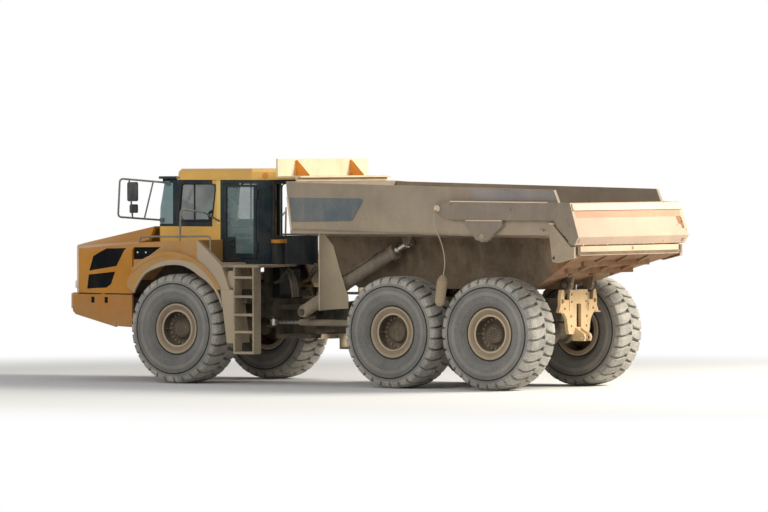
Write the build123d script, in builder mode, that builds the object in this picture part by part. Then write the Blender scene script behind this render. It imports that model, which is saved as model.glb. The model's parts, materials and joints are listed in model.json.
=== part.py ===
from build123d import *
import os
from math import pi, radians, tan

# An articulated six-wheel dump truck: a front unit with hood and cab, hinged by a vertical
# steering pin to a rear unit that carries a tipping bed with an overhead-hinged tailgate.
# Millimetres, +X forward, +Y to the vehicle's left, +Z up, tyres standing on Z = 0.
# The origin lies under the middle of the overall length. Lengths along X in the tables
# below are measured from the front axle, so a negative one lies behind it.

os.makedirs("parts", exist_ok=True)

# Running gear
front_axle_x = 2585
wheelbase = 4451
bogie_spacing = 1940
track = 2636
tyre_radius = 930
tyre_width = 750
lug_count = 30
tread_depth = 38
tread_rib = 110
shoulder_drop = 26
groove_width = 58
groove_slant = 14
rim_radius = 395
rim_width = 560
rim_wall = 50
rim_disc_offset = 20
rim_disc_thickness = 45
hub_radius = 150
hub_reach = 130
flange_height = 30
flange_width = 16
axle_tube_radius = 140
axle_case_radius = 270
running_gap = 0.3
pin_clearance = 0.08
seat_gap = 0.3

# Steering hinge
steer_setback = 1700
steer_pin_radius = 60
yoke_radius = 155
yoke_plate = 80
nose_bottom = 840
nose_height = 400
swing_gap = 6

# Frames
frame_inner_y = 320
frame_rail_width = 120
front_rail_bottom = 1120
front_rail_top = 1420
rear_rail_bottom = 1120
rear_rail_top = 1500
frame_front_x = -2080
front_frame_rear = -1250
frame_tail_setback = 7050
tail_plate_thickness = 60
tail_plate_top = 1640
lashing_hole_radius = 38
lashing_hole_y = 490
lashing_hole_z = 1455
tow_pin_setback = 7240
tow_pin_z = 850
tow_bore_radius = 26
tow_ear_y = 110
tow_ear_width = 45

# Cab
cab_half_width = 850
cab_floor_z = 2000
cab_waist_z = 2700
cab_top_z = 3450
cab_wall = 60
cab_front = 940
cab_front_top = 780
cab_rear = -1340
cab_rear_corner = 160
roof_thickness = 190
roof_half_width = 880
roof_rear_corner = 330
beacon_radius = 55
beacon_depth = 45
beacon_rise = 70
glass_thickness = 12
door_front = -460
door_rear = -1150
door_bottom = 2110
door_top = cab_top_z - 65
door_gap = 9
window_top = cab_top_z - 70

# Hood, bumper and fenders
hood_bottom = 1510
hood_rear = 1040
hood_wall = 45
lamp_x = 2405
lamp_y = 1140
lamp_z = 1650
lamp_turn = 41.8
lamp_width = 210
lamp_height = 130
bumper_front = 3030
bumper_top = 1490
bumper_wall = 45
fender_outer_y = 1640
fender_inner_y = 960
fender_wall = 40
walk_front = -445
walk_rear = -1150
walk_outer_y = 1510
walk_z = 2050

# Bed and tailgate
bed_half_width = 1600
bed_side_wall = 70
bed_floor_wall = 50
bed_floor_z = 1640
bed_floor_half = 600
bed_knee_half = 790
bed_knee_z = 2500
bed_rail_z = 2560
bed_top_front_z = 3430
bed_top_rear_z = 3297
bed_front_setback = 2300
bed_front_lean = 90
bed_front_bend = (-2660, 1970)
bed_front_foot = -3080
bed_rear_corner = -7660
bed_tail_start = 6600
bed_tail_setback = 8120
bed_tail_z = 2240
bed_tail_lip = 2375
tail_rib_front = -7330
tail_rib_rear = -8060
tail_rib_width = 60
tail_rib_depth = 70
tail_rib_half_span = 1000
tail_crossbars = (-7480, -7800)
tail_rib_places = (0, 640)
bed_hinge_setback = 7100
bed_hinge_z = 1720
bed_hinge_radius = 90
bed_pin_radius = 45
tailgate_arm_gap = 10
tailgate_arm_width = 80
tailgate_pivot = (-6310, 2527)
tailgate_pin_radius = 45
corner_plate_outer = 1660
hinge_lug_width = 75
hinge_play = 5

# Hoist and steering cylinders
hoist_y = 930
hoist_lower = (-2170, 1224)
hoist_upper = (-4350, 2410)
hoist_barrel_radius = 105
hoist_stage_radius = 82
hoist_rod_radius = 60
hoist_eye_radius = 80
hoist_eye_width = 90
hoist_pin_radius = 40
hoist_ear_thickness = 30
hoist_ear_gap = 2 * (hoist_rod_radius + hinge_play)
steer_rod_radius = 32
steer_barrel_radius = 55
steer_eye_radius = 65
steer_eye_play = 6
steer_cylinder_z = 1040
steer_lower = (-3000, 640)
steer_upper = (-1350, 640)
steer_ear_thickness = 30
steer_eye_pin_radius = 25

# Smaller sizes of the bed's fittings
guard_front = -1905
guard_thickness = 40
guard_half_width = 1335
guard_bottom = bed_top_front_z + 60
guard_top = guard_bottom + 320
guard_gusset_y = 800
flap_front = -2965
flap_thickness = 20
flap_bottom = 1270
tailgate_eye = (-5430, 2990)

# Smaller sizes of the front unit
crossbar_width = 90
outrigger_front = -1100
outrigger_top = 1450
fender_post_x = -1030
fender_foot_z = 1600
engine_half_width = 310
engine_bottom = 1220
engine_top = 1980
grille_half_width = 420
grille_bottom = 1620
grille_top = 2150
grille_bars = 6
roof_front = 560
visor_front = 1010
visor_thickness = 45
work_lamp_x = 930
work_lamp_depth = 80
work_lamp_width = 130
work_lamp_height = 80
work_lamp_places = (600, 400, -400, -600)
deck_front = -1000
deck_rear = -1760
deck_inner_y = 900
deck_stand_y = 540
deck_z = 2020
step_inner_y = 1450
step_outer_y = 1660
seat_cushion_z = 2560
seat_back_z = cab_top_z - 250
door_hinge_x = -1175
door_hinge_y = 880
handle_z = 2405
door_hinge_radius = 18
door_pin_radius = 10
door_hinge_heights = (door_bottom + 140, door_top - 235)
door_hinge_length = 110
hinge_ear = 20
door_window_top = door_top - 55
door_window_low = door_bottom + 90
door_window_step = 2480
door_window = [
    (-520, door_window_step),
    (-520, door_window_top),
    (-1090, door_window_top),
    (-1090, door_window_low),
    (-690, door_window_low),
    (-690, door_window_step),
]
hood_hinge_x = 2930
hood_hinge_z = 1550
hood_knuckle_y = 375
hood_knuckle_width = 35
hood_knuckle_radius = 25
hood_pin_radius = 10
hood_ear_width = 20

# Derived places
tailgate_outer_y = bed_half_width + tailgate_arm_gap + tailgate_arm_width
hinge_ear_outer = 430
hinge_ear_width = 70
hinge_lug_outer = hinge_ear_outer - hinge_ear_width - hinge_play
hoist_ear_inner = hoist_y - hoist_ear_gap / 2
steer_ear_gap = steer_barrel_radius + hinge_play
steer_eye_height = 2 * (steer_ear_gap - steer_eye_play)
front_frame_nose = bumper_front - bumper_wall - seat_gap
rear_axle_setbacks = [wheelbase, wheelbase + bogie_spacing]
axle_z = tyre_radius
wheel_y = track / 2
steer_x = front_axle_x - steer_setback
rim_bead = rim_width / 2 - flange_width


def fx(x):
    """The place along X of a point that lies x in front of the front axle."""
    return front_axle_x + x


def prism_y(points, y_outer, width, mode=Mode.ADD):
    """A plate cut to (x from the front axle, z) points, from y_outer inwards by width."""
    with BuildSketch(Plane.XZ.offset(-y_outer)) as face:
        with BuildLine():
            Polyline(*[(fx(x), z) for x, z in points], close=True)
        make_face()
    extrude(face.sketch, amount=width, mode=mode)


def prism_z(points, bottom, top, mode=Mode.ADD):
    """A block cut to (x from the front axle, y) points, mirrored to both sides."""
    outline = [(fx(x), y) for x, y in points]
    outline += [(x, -y) for x, y in reversed(outline) if y]
    with BuildSketch(Plane.XY.offset(bottom)) as face:
        with BuildLine():
            Polyline(*outline, close=True)
        make_face()
    extrude(face.sketch, amount=top - bottom, mode=mode)


def prism_x(points, front, length, mode=Mode.ADD):
    """A block cut to (y, z) points, mirrored to both sides, from front rearwards."""
    outline = points + [(-y, z) for y, z in reversed(points) if y]
    with BuildSketch(Plane.YZ.offset(fx(front))) as face:
        with BuildLine():
            Polyline(*outline, close=True)
        make_face()
    extrude(face.sketch, amount=-length, mode=mode)


def block(front, rear, y_inner, y_outer, bottom, top, mode=Mode.ADD):
    """A box between two stations behind the front axle and two distances to the left."""
    center = (fx((front + rear) / 2), (y_inner + y_outer) / 2, (bottom + top) / 2)
    with Locations(center):
        Box(abs(front - rear), abs(y_outer - y_inner), abs(top - bottom), mode=mode)


def prism_x_left(points, front, length, mode=Mode.ADD):
    """A block cut to (y, z) points on the left side only, from front rearwards."""
    with BuildSketch(Plane.YZ.offset(fx(front))) as face:
        with BuildLine():
            Polyline(*points, close=True)
        make_face()
    extrude(face.sketch, amount=-length, mode=mode)


def disc_y(x, z, radius, y_outer, width, mode=Mode.ADD):
    """A round boss or hole on an axis along Y, from y_outer inwards by width."""
    with BuildSketch(Plane.XZ.offset(-y_outer)) as face:
        with Locations((fx(x), z)):
            Circle(radius)
    extrude(face.sketch, amount=width, mode=mode)


def disc_z(x, y, radius, bottom, top, mode=Mode.ADD):
    """A round boss or hole on an upright axis."""
    with BuildSketch(Plane.XY.offset(bottom)) as face:
        with Locations((fx(x), y)):
            Circle(radius)
    extrude(face.sketch, amount=top - bottom, mode=mode)


def tube(points, radius, bend):
    """A round bar through (x from the front axle, y, z) points with bends between them."""
    corners = [(fx(x), y, z) for x, y, z in points]
    with BuildLine() as path:
        if len(corners) > 2:
            FilletPolyline(*corners, radius=bend)
        else:
            Line(*corners)
    with BuildSketch(Plane(origin=path.line @ 0, z_dir=path.line % 0)) as section:
        Circle(radius)
    sweep(section.sketch, path=path.line)


def finish(builder, name):
    """Names a finished sub-part and writes it."""
    builder.part.label = name
    export_step(builder.part, f"parts/{name}.step")


# Wheels: a solid tyre on a deep-dished rim, revolved about each wheel's axis.
# Columns: name, distance behind the front axle, side (1 left, -1 right)
wheels = [
    ("front_left", 0, 1),
    ("front_right", 0, -1),
    ("middle_left", rear_axle_setbacks[0], 1),
    ("middle_right", rear_axle_setbacks[0], -1),
    ("rear_left", rear_axle_setbacks[1], 1),
    ("rear_right", rear_axle_setbacks[1], -1),
]

# Columns: distance out from the tyre's middle plane, radius
tyre_half_section = [
    (rim_bead - seat_gap, rim_radius + seat_gap),
    (rim_bead - seat_gap, rim_radius + 60),
    (tyre_width / 2 - 25, rim_radius + 130),
    (tyre_width / 2, rim_radius + 245),
    (tyre_width / 2 - 8, rim_radius + 370),
    (tyre_width / 2 - 28, tyre_radius - 75),
    (tyre_width / 2 - 70, tyre_radius - 10),
    (tyre_width / 2 - 200, tyre_radius),
]
tyre_section = tyre_half_section + [(-a, r) for a, r in reversed(tyre_half_section)]

disc_inner = rim_disc_offset
disc_outer = rim_disc_offset + rim_disc_thickness
rim_section = [
    (rim_width / 2, rim_radius - rim_wall),
    (rim_width / 2, rim_radius + flange_height),
    (rim_bead, rim_radius + flange_height),
    (rim_bead, rim_radius),
    (-rim_bead, rim_radius),
    (-rim_bead, rim_radius + flange_height),
    (-rim_width / 2, rim_radius + flange_height),
    (-rim_width / 2, rim_radius - rim_wall),
    (disc_inner, rim_radius - rim_wall - 40),
    (disc_inner, 0),
    (disc_outer + hub_reach, 0),
    (disc_outer + hub_reach, hub_radius - 50),
    (disc_outer + hub_reach - 30, hub_radius - 15),
    (disc_outer + 10, hub_radius),
    (disc_outer, rim_radius - rim_wall - 60),
    (disc_outer + 60, rim_radius - rim_wall - 20),
]


def revolve_about_axle(section, setback, y, side):
    """Turns a (distance out, radius) section about a wheel's axis."""
    center = (fx(-setback), y, axle_z)
    with BuildSketch(Plane(origin=center, x_dir=(0, side, 0), z_dir=(side, 0, 0))) as face:
        with BuildLine():
            Polyline(*section, close=True)
        make_face()
    revolve(face.sketch, axis=Axis(center, (0, 1, 0)))


# Tread: slanting grooves from both shoulders leave the lugs and a round rib in the middle.
# The lugs of one shoulder stand half a pitch from those of the other.
groove_floor = tyre_radius - tread_depth
groove_profile = [
    (tread_rib / 2, groove_floor),
    (tyre_width / 2 + 10, groove_floor - shoulder_drop),
    (tyre_width / 2 + 10, tyre_radius + 10),
    (tread_rib / 2 - 10, tyre_radius + 10),
]
lug_pitch = 360 / lug_count
with BuildPart() as lugged_tyre:
    with BuildSketch(Plane(origin=(0, 0, 0), x_dir=(0, 1, 0), z_dir=(1, 0, 0))) as tyre_face:
        with BuildLine():
            Polyline(*tyre_section, close=True)
        make_face()
    revolve(tyre_face.sketch, axis=Axis.Y)
    for shoulder, phase in ((1, 0), (-1, lug_pitch / 2)):
        with BuildPart(mode=Mode.PRIVATE) as groove:
            with BuildSketch(Plane.YZ) as groove_face:
                with BuildLine():
                    Polyline(*[(shoulder * out, radius) for out, radius in groove_profile], close=True)
                make_face()
            extrude(groove_face.sketch, amount=groove_width / 2, both=True)
        turned = Location((0, 0, 0), (0, 0, 1), shoulder * groove_slant)
        with Locations(*[
            Location((0, 0, 0), (0, 1, 0), phase + lug * lug_pitch) * turned
            for lug in range(lug_count)
        ]):
            add(groove.part, mode=Mode.SUBTRACT)

for wheel_name, setback, side in wheels:
    with BuildPart() as tyre:
        with Locations((fx(-setback), side * wheel_y, axle_z)):
            add(lugged_tyre.part)
    finish(tyre, f"{wheel_name}_tyre")

    with BuildPart() as rim:
        revolve_about_axle(rim_section, setback, side * wheel_y, side)
    finish(rim, f"{wheel_name}_rim")

# Axles: a round case in the middle, tapering to tubes that end at the wheel discs.
axle_end_y = wheel_y + disc_inner - running_gap
# Columns: distance from the middle of the truck, radius
axle_half_section = [
    (axle_end_y, 0),
    (axle_end_y, axle_tube_radius - 25),
    (wheel_y - rim_width / 2 - 40, axle_tube_radius - 25),
    (wheel_y - rim_width / 2 - 40, axle_tube_radius + 30),
    (wheel_y - rim_width / 2 - 90, axle_tube_radius + 30),
    (wheel_y - rim_width / 2 - 90, axle_tube_radius),
    (280, axle_tube_radius),
    (170, axle_case_radius - 30),
    (80, axle_case_radius),
]
axle_section = axle_half_section + [(-a, r) for a, r in reversed(axle_half_section)]

with BuildPart() as front_axle:
    revolve_about_axle(axle_section, 0, 0, 1)
finish(front_axle, "front_axle")

with BuildPart() as rear_axles:
    for setback in rear_axle_setbacks:
        revolve_about_axle(axle_section, setback, 0, 1)
finish(rear_axles, "rear_axles")

# Bogie beams: one on each side, carried in the middle and holding an axle at each end.
bogie_x = -(wheelbase + bogie_spacing / 2)
bogie_beam_y = 700
bogie_beam_width = 130
bogie_end_radius = 210
bogie_mid_top = 1300
with BuildPart() as bogie_beams:
    prism_y(
        [
            (bogie_x + bogie_spacing / 2, axle_z + bogie_end_radius),
            (bogie_x + 160, bogie_mid_top),
            (bogie_x - 160, bogie_mid_top),
            (bogie_x - bogie_spacing / 2, axle_z + bogie_end_radius),
            (bogie_x - bogie_spacing / 2, axle_z - bogie_end_radius),
            (bogie_x - 300, axle_z - 40),
            (bogie_x + 300, axle_z - 40),
            (bogie_x + bogie_spacing / 2, axle_z - bogie_end_radius),
        ],
        bogie_beam_y,
        bogie_beam_width,
    )
    for setback in rear_axle_setbacks:
        disc_y(-setback, axle_z, bogie_end_radius, bogie_beam_y, bogie_beam_width)
    for setback in rear_axle_setbacks:
        hole = axle_tube_radius + seat_gap
        disc_y(-setback, axle_z, hole, bogie_beam_y, bogie_beam_width, Mode.SUBTRACT)
    mirror(about=Plane.XZ)
finish(bogie_beams, "bogie_beams")

# Rear frame: two deep rails joined by crossbars, the hitch nose in front and the tail behind.
rail_outer_y = frame_inner_y + frame_rail_width
nose_top = nose_bottom + nose_height
pad_top = bed_floor_z - seat_gap
trunnion_radius = 90
trunnion_z = bogie_mid_top - 130
trunnion_y = bogie_beam_y - bogie_beam_width - seat_gap
hoist_stub_y = hoist_y - hoist_eye_width / 2 - 2
hoist_pin_y = hoist_y + hoist_eye_width / 2 + 2
steer_ear_planes = (
    steer_cylinder_z + steer_ear_gap,
    steer_cylinder_z - steer_ear_gap - steer_ear_thickness,
)
# Columns: front edge, bottom, top
rear_crossbars = [
    (-2300, 900, 1290),
    (-4000, 1180, 1440),
    (-5330, 1180, 1440),
    (180 - frame_tail_setback, 1180, 1440),
]
with BuildPart() as rear_frame:
    prism_y(
        [
            (frame_front_x, nose_bottom + 30),
            (frame_front_x, nose_top + 60),
            (-3050, rear_rail_top - 60),
            (-3400, rear_rail_top),
            (-frame_tail_setback, rear_rail_top),
            (-frame_tail_setback, rear_rail_bottom),
            (-3900, rear_rail_bottom),
            (-3300, nose_bottom + 60),
        ],
        rail_outer_y,
        frame_rail_width,
    )
    # Bed hinge ears seated on the tail of the rails, bored for the bed's pins.
    prism_y(
        [
            (-bed_hinge_setback + 170, rear_rail_top + seat_gap),
            (-bed_hinge_setback + 80, bed_hinge_z),
            (-bed_hinge_setback - 80, bed_hinge_z),
            (-frame_tail_setback, rear_rail_top + seat_gap),
        ],
        hinge_ear_outer,
        hinge_ear_width,
    )
    disc_y(-bed_hinge_setback, bed_hinge_z, bed_hinge_radius, hinge_ear_outer, hinge_ear_width)
    bed_bore = bed_pin_radius + pin_clearance
    disc_y(-bed_hinge_setback, bed_hinge_z, bed_bore, hinge_ear_outer, hinge_ear_width, Mode.SUBTRACT)
    # Pads for the bed, trunnions for the bogie beams and pins for the hoist cylinders.
    block(-3500, -4300, frame_inner_y + 20, rail_outer_y - 20, rear_rail_top, pad_top)
    stub_inner_y = rail_outer_y + seat_gap
    disc_y(bogie_x, trunnion_z, trunnion_radius, trunnion_y, trunnion_y - stub_inner_y)
    disc_y(*hoist_lower, hoist_eye_radius - 5, hoist_stub_y, hoist_stub_y - stub_inner_y)
    disc_y(*hoist_lower, hoist_pin_radius, hoist_pin_y, hoist_eye_width + 4)
    disc_y(*hoist_lower, hoist_eye_radius - 20, hoist_pin_y + 20, 20)
    # Ears and pins for the steering cylinders' barrels.
    for ear_z in steer_ear_planes:
        block(
            steer_lower[0] + 45,
            steer_lower[0] - 70,
            stub_inner_y,
            steer_lower[1] + 60,
            ear_z,
            ear_z + steer_ear_thickness,
        )
    disc_z(*steer_lower, steer_eye_pin_radius, steer_ear_planes[1], steer_ear_planes[0])
    mirror(about=Plane.XZ)
    # Crossbars and the hitch nose join the two rails.
    for front, bottom, top in rear_crossbars:
        block(front, front - 180, -frame_inner_y, frame_inner_y, bottom, top)
    prism_z(
        [
            (-steer_setback, yoke_radius - 10),
            (frame_front_x + 80, 200),
            (frame_front_x, rail_outer_y),
            (frame_front_x - 230, rail_outer_y),
        ],
        nose_bottom,
        nose_top,
    )
    disc_z(-steer_setback, 0, yoke_radius, nose_bottom, nose_top)
    nose_bore = steer_pin_radius + pin_clearance
    disc_z(-steer_setback, 0, nose_bore, nose_bottom, nose_top, Mode.SUBTRACT)
finish(rear_frame, "rear_frame")

# Frame tail: a winged plate with a slot, two lashing holes and two towing ears bored along Y.
tail_front = -frame_tail_setback - seat_gap
tail_rear = tail_front - tail_plate_thickness
# Columns: distance from the middle, height
tail_outline = [
    (520, tail_plate_top),
    (550, 1500),
    (550, 1380),
    (600, 1290),
    (600, 1268),
    (440, 1250),
    (360, 1150),
    (330, 1000),
    (300, 905),
]
with BuildPart() as frame_tail:
    prism_x(tail_outline, tail_front, tail_plate_thickness)
    block(tail_front, tail_rear, -70, 70, 1020, 1406, Mode.SUBTRACT)
    # Notches for the bed's hinge ears and lugs.
    ear_notch_inner = hinge_lug_outer - hinge_lug_width - 2 * hinge_play
    ear_notch_outer = hinge_ear_outer + 2 * hinge_play
    notch_floor = rear_rail_top - 25
    for notch_side in (1, -1):
        notch_from, notch_to = notch_side * ear_notch_inner, notch_side * ear_notch_outer
        block(tail_front, tail_rear, notch_from, notch_to, notch_floor, tail_plate_top, Mode.SUBTRACT)
    for hole_y in (lashing_hole_y, -lashing_hole_y):
        with BuildSketch(Plane.YZ.offset(fx(tail_front))) as hole_face:
            with Locations((hole_y, lashing_hole_z)):
                Circle(lashing_hole_radius)
        extrude(hole_face.sketch, amount=-tail_plate_thickness, mode=Mode.SUBTRACT)
    for tow_y in (tow_ear_y, tow_ear_width - tow_ear_y):
        prism_y(
            [
                (tail_rear, 1010),
                (-tow_pin_setback - 40, 910),
                (-tow_pin_setback - 60, tow_pin_z),
                (-tow_pin_setback - 40, tow_pin_z - 60),
                (tail_rear + tail_plate_thickness, tow_pin_z - 60),
                (tail_rear + tail_plate_thickness, 1010),
            ],
            tow_y,
            tow_ear_width,
        )
    disc_y(-tow_pin_setback, tow_pin_z, tow_bore_radius, tow_ear_y, 2 * tow_ear_y, Mode.SUBTRACT)
finish(frame_tail, "frame_tail")

# Bed: a tub with upright upper sides, a narrow lower trough and a tail that flares and rises.
# Columns: distance from the front axle, floor height, floor half width, knee half width
tub_stations = [
    (-bed_front_setback + 100, bed_floor_z, bed_floor_half, bed_knee_half),
    (-bed_tail_start, bed_floor_z, bed_floor_half, bed_knee_half),
    (-bed_tail_setback, bed_tail_z, bed_half_width - 20, bed_half_width - 10),
]


def tub_loft(side_wall, floor_wall, top_z, mode=Mode.ADD):
    """The tub's cross-section lofted through its stations, inset by its walls."""
    faces = []
    for x, floor_z, floor_half, knee_half in tub_stations:
        half = [
            (floor_half - side_wall * 0.7, floor_z + floor_wall),
            (knee_half - side_wall * 0.9, bed_knee_z + floor_wall),
            (bed_half_width - side_wall, bed_rail_z + floor_wall),
            (bed_half_width - side_wall, top_z),
        ]
        with BuildSketch(Plane.YZ.offset(fx(x))) as face:
            with BuildLine():
                Polyline(*half, *[(-y, z) for y, z in reversed(half)], close=True)
            make_face()
        faces.append(face.sketch.face())
    for front_face, rear_face in zip(faces, faces[1:]):
        loft(sections=[front_face, rear_face], ruled=True, mode=mode)


with BuildPart() as tub_space:
    tub_loft(bed_side_wall, bed_floor_wall, bed_top_front_z + 300)
    # The space inside ends at the leaning front wall.
    prism_y(
        [
            (-bed_front_setback - bed_floor_wall, bed_top_front_z + 400),
            (-bed_front_setback - bed_front_lean - bed_floor_wall, bed_rail_z),
            (bed_front_bend[0] - bed_floor_wall, bed_front_bend[1]),
            (bed_front_foot - bed_floor_wall, bed_floor_z),
            (bed_front_foot - bed_floor_wall, bed_floor_z - 100),
            (-bed_tail_setback, bed_floor_z - 100),
            (-bed_tail_setback, bed_top_front_z + 400),
        ],
        bed_half_width + 100,
        2 * bed_half_width + 200,
        Mode.INTERSECT,
    )

def tail_underside(x):
    """Height of the tail's sloping underside at a distance from the front axle."""
    share = (-bed_tail_start - x) / (bed_tail_setback - bed_tail_start)
    return bed_floor_z + share * (bed_tail_z - bed_floor_z)


with BuildPart() as bed:
    tub_loft(0, 0, bed_top_front_z + 200)
    prism_y(
        [
            (-bed_front_setback, bed_top_front_z),
            (-bed_front_setback - 300, bed_top_front_z - 18),
            (bed_rear_corner, bed_top_rear_z),
            (bed_rear_corner - 80, bed_top_rear_z - 187),
            (bed_rear_corner - 270, bed_tail_lip + 125),
            (bed_rear_corner - 285, bed_tail_lip),
            (-bed_tail_setback, bed_tail_lip),
            (-bed_tail_setback, bed_floor_z - 100),
            (bed_front_foot, bed_floor_z - 100),
            (bed_front_foot, bed_floor_z),
            bed_front_bend,
            (-bed_front_setback - bed_front_lean, bed_rail_z),
        ],
        bed_half_width + 100,
        2 * bed_half_width + 200,
        Mode.INTERSECT,
    )
    add(tub_space.part, mode=Mode.SUBTRACT)
    # Ribs under the tail: crossbars, and lengthwise ribs that follow its slope.
    for crossbar_x in tail_crossbars:
        block(
            crossbar_x,
            crossbar_x - tail_rib_width,
            -tail_rib_half_span,
            tail_rib_half_span,
            tail_underside(crossbar_x) - tail_rib_depth,
            tail_underside(crossbar_x) + bed_floor_wall - seat_gap,
        )
    for rib_y in tail_rib_places:
        prism_y(
            [
                (tail_rib_front, tail_underside(tail_rib_front) + bed_floor_wall / 2),
                (tail_rib_rear, tail_underside(tail_rib_rear) + bed_floor_wall / 2),
                (tail_rib_rear, tail_underside(tail_rib_rear) - tail_rib_depth / 2),
                (tail_rib_front, tail_underside(tail_rib_front) - tail_rib_depth),
            ],
            rib_y + tail_rib_width / 2,
            tail_rib_width,
        )
    # Tail corner plates with their lashing holes.
    prism_y(
        [
            (-7590, 2730),
            (-7680, 2730),
            (-8030, bed_tail_lip),
            (-8090, bed_tail_lip),
            (-8090, 2190),
            (-7760, 2110),
            (-7670, 2125),
        ],
        corner_plate_outer,
        corner_plate_outer - bed_half_width + 20,
    )
    disc_y(-7700, 2190, 28, corner_plate_outer, corner_plate_outer - bed_half_width + 20, Mode.SUBTRACT)
    # Hinge lugs and pins under the tail.
    lug_top = bed_floor_z + 230
    prism_y(
        [
            (-bed_hinge_setback + 120, lug_top - 20),
            (-bed_hinge_setback + 85, bed_hinge_z),
            (-bed_hinge_setback - 85, bed_hinge_z),
            (-bed_hinge_setback - 120, lug_top + 20),
        ],
        hinge_lug_outer,
        hinge_lug_width,
    )
    disc_y(-bed_hinge_setback, bed_hinge_z, bed_hinge_radius, hinge_lug_outer, hinge_lug_width)
    pin_outer = hinge_ear_outer + 10
    disc_y(-bed_hinge_setback, bed_hinge_z, bed_pin_radius, pin_outer, pin_outer - hinge_lug_outer)
    # Tailgate pivots on bosses under the side rails.
    disc_y(*tailgate_pivot, tailgate_pin_radius + 45, bed_half_width, bed_side_wall)
    gate_pin_outer = tailgate_outer_y + 10
    disc_y(*tailgate_pivot, tailgate_pin_radius, gate_pin_outer, gate_pin_outer - bed_half_width)
    # Ears for the hoist rods under the side rails.
    for ear_y in (hoist_ear_inner, hoist_ear_inner + hoist_ear_gap + hoist_ear_thickness):
        prism_y(
            [
                (hoist_upper[0] + 110, bed_knee_z + 60),
                (hoist_upper[0] + 60, hoist_upper[1] - 30),
                (hoist_upper[0] - 20, hoist_upper[1] - 70),
                (hoist_upper[0] - 75, hoist_upper[1]),
                (hoist_upper[0] - 110, bed_knee_z + 60),
            ],
            ear_y,
            hoist_ear_thickness,
        )
    mirror(about=Plane.XZ)
finish(bed, "bed")

# Spill guard: a plate across the bed's front edge on a ledge, with two gussets behind it.
with BuildPart() as spill_guard:
    guard_rear = guard_front - guard_thickness
    block(guard_front, guard_rear, -guard_half_width, guard_half_width, guard_bottom, guard_top)
    ledge_rear = -bed_front_setback - 120
    ledge_top = guard_bottom + 30
    block(guard_front, ledge_rear, -guard_half_width, guard_half_width, guard_bottom, ledge_top)
    for gusset_y in (guard_gusset_y + 15, 15 - guard_gusset_y):
        prism_y(
            [
                (guard_rear, ledge_top),
                (guard_rear, guard_top - 20),
                (guard_rear - 35, guard_top - 20),
                (guard_rear - 285, ledge_top + 20),
                (guard_rear - 285, ledge_top),
            ],
            gusset_y,
            30,
        )
    # Feet that stand on the bed's front wall.
    foot_front = -bed_front_setback - 10
    foot_bottom = bed_top_front_z + seat_gap
    block(foot_front, foot_front - 35, -guard_half_width, guard_half_width, foot_bottom, guard_bottom)
finish(spill_guard, "spill_guard")

# Mud flaps: sheets curved round the front of the middle wheels, outside the hoist cylinders.
flap_top = bed_rail_z - seat_gap
# Columns: distance to the left, height
flap_outline = [
    (bed_half_width, flap_top),
    (bed_half_width, flap_bottom),
    (1110, flap_bottom + 30),
    (1110, 1430),
    (1150, 1620),
    (1195, 1865),
    (1305, 2357),
    (1450, flap_top - 12),
]
with BuildPart() as mud_flaps:
    with BuildSketch(Plane.XY.offset(flap_bottom)) as flap_plan:
        with BuildLine():
            outer_start = (fx(flap_front), bed_half_width)
            outer_end = (fx(flap_front - 270), 1110)
            inner_start = (fx(flap_front - flap_thickness), bed_half_width)
            inner_end = (fx(flap_front - 280), 1128)
            ThreePointArc(outer_start, (fx(flap_front - 70), 1315), outer_end)
            Line(outer_end, inner_end)
            ThreePointArc(inner_end, (fx(flap_front - 88), 1324), inner_start)
            Line(inner_start, outer_start)
        make_face()
    extrude(flap_plan.sketch, amount=flap_top - flap_bottom)
    with BuildSketch(Plane.YZ.offset(fx(flap_front + 50))) as flap_face:
        with BuildLine():
            Polyline(*flap_outline, close=True)
        make_face()
    extrude(flap_face.sketch, amount=-400, mode=Mode.INTERSECT)
    mirror(about=Plane.XZ)
finish(mud_flaps, "mud_flaps")

# Tailgate: two side arms and the rear panel that they carry.
with BuildPart() as tailgate:
    arm = [
        (-5440, 3060),
        (-5670, 3104),
        (-8030, 3087),
        (-8180, 2600),
        (-8200, 2530),
        (-8120, 2400),
        (-8075, 2392),
        (-7710, 2800),
        (-6710, 2800),
        (-6710, 2720),
        (-6420, 2470),
        (-6200, 2470),
        (-5980, 2720),
        (-5980, 2800),
        (-5660, 2810),
        (-5540, 2850),
        (-5400, 2930),
    ]
    prism_y(arm, tailgate_outer_y, tailgate_arm_width)
    disc_y(*tailgate_eye, 75, tailgate_outer_y, tailgate_arm_width)
    disc_y(*tailgate_pivot, tailgate_pin_radius + 40, tailgate_outer_y, tailgate_arm_width)
    hole = tailgate_pin_radius + pin_clearance
    disc_y(*tailgate_pivot, hole, tailgate_outer_y, tailgate_arm_width, Mode.SUBTRACT)
    disc_y(*tailgate_eye, 22, tailgate_outer_y, tailgate_arm_width, Mode.SUBTRACT)
    mirror(about=Plane.XZ)
    prism_y(
        [
            (-8030, 3087),
            (-8180, 2600),
            (-8200, 2530),
            (-8120, 2400),
            (-8070, 2392),
            (-8000, 2440),
            (-8105, 2580),
            (-7955, 3087),
        ],
        tailgate_outer_y,
        2 * tailgate_outer_y,
    )
finish(tailgate, "tailgate")

# Hoist cylinders: barrel, sleeve and rod, one inside another, on each side under the bed.
hoist_run = Vector(hoist_upper[0] - hoist_lower[0], 0, hoist_upper[1] - hoist_lower[1])
hoist_length = hoist_run.length
hoist_path = hoist_run.normalized()


def along_hoist(start, end, radius, mode=Mode.ADD):
    """A round length of the left hoist cylinder, measured from its lower pin."""
    foot = Vector(fx(hoist_lower[0]), hoist_y, hoist_lower[1]) + hoist_path * start
    with BuildSketch(Plane(origin=foot, z_dir=hoist_path)) as face:
        Circle(radius)
    extrude(face.sketch, amount=end - start, mode=mode)


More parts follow.
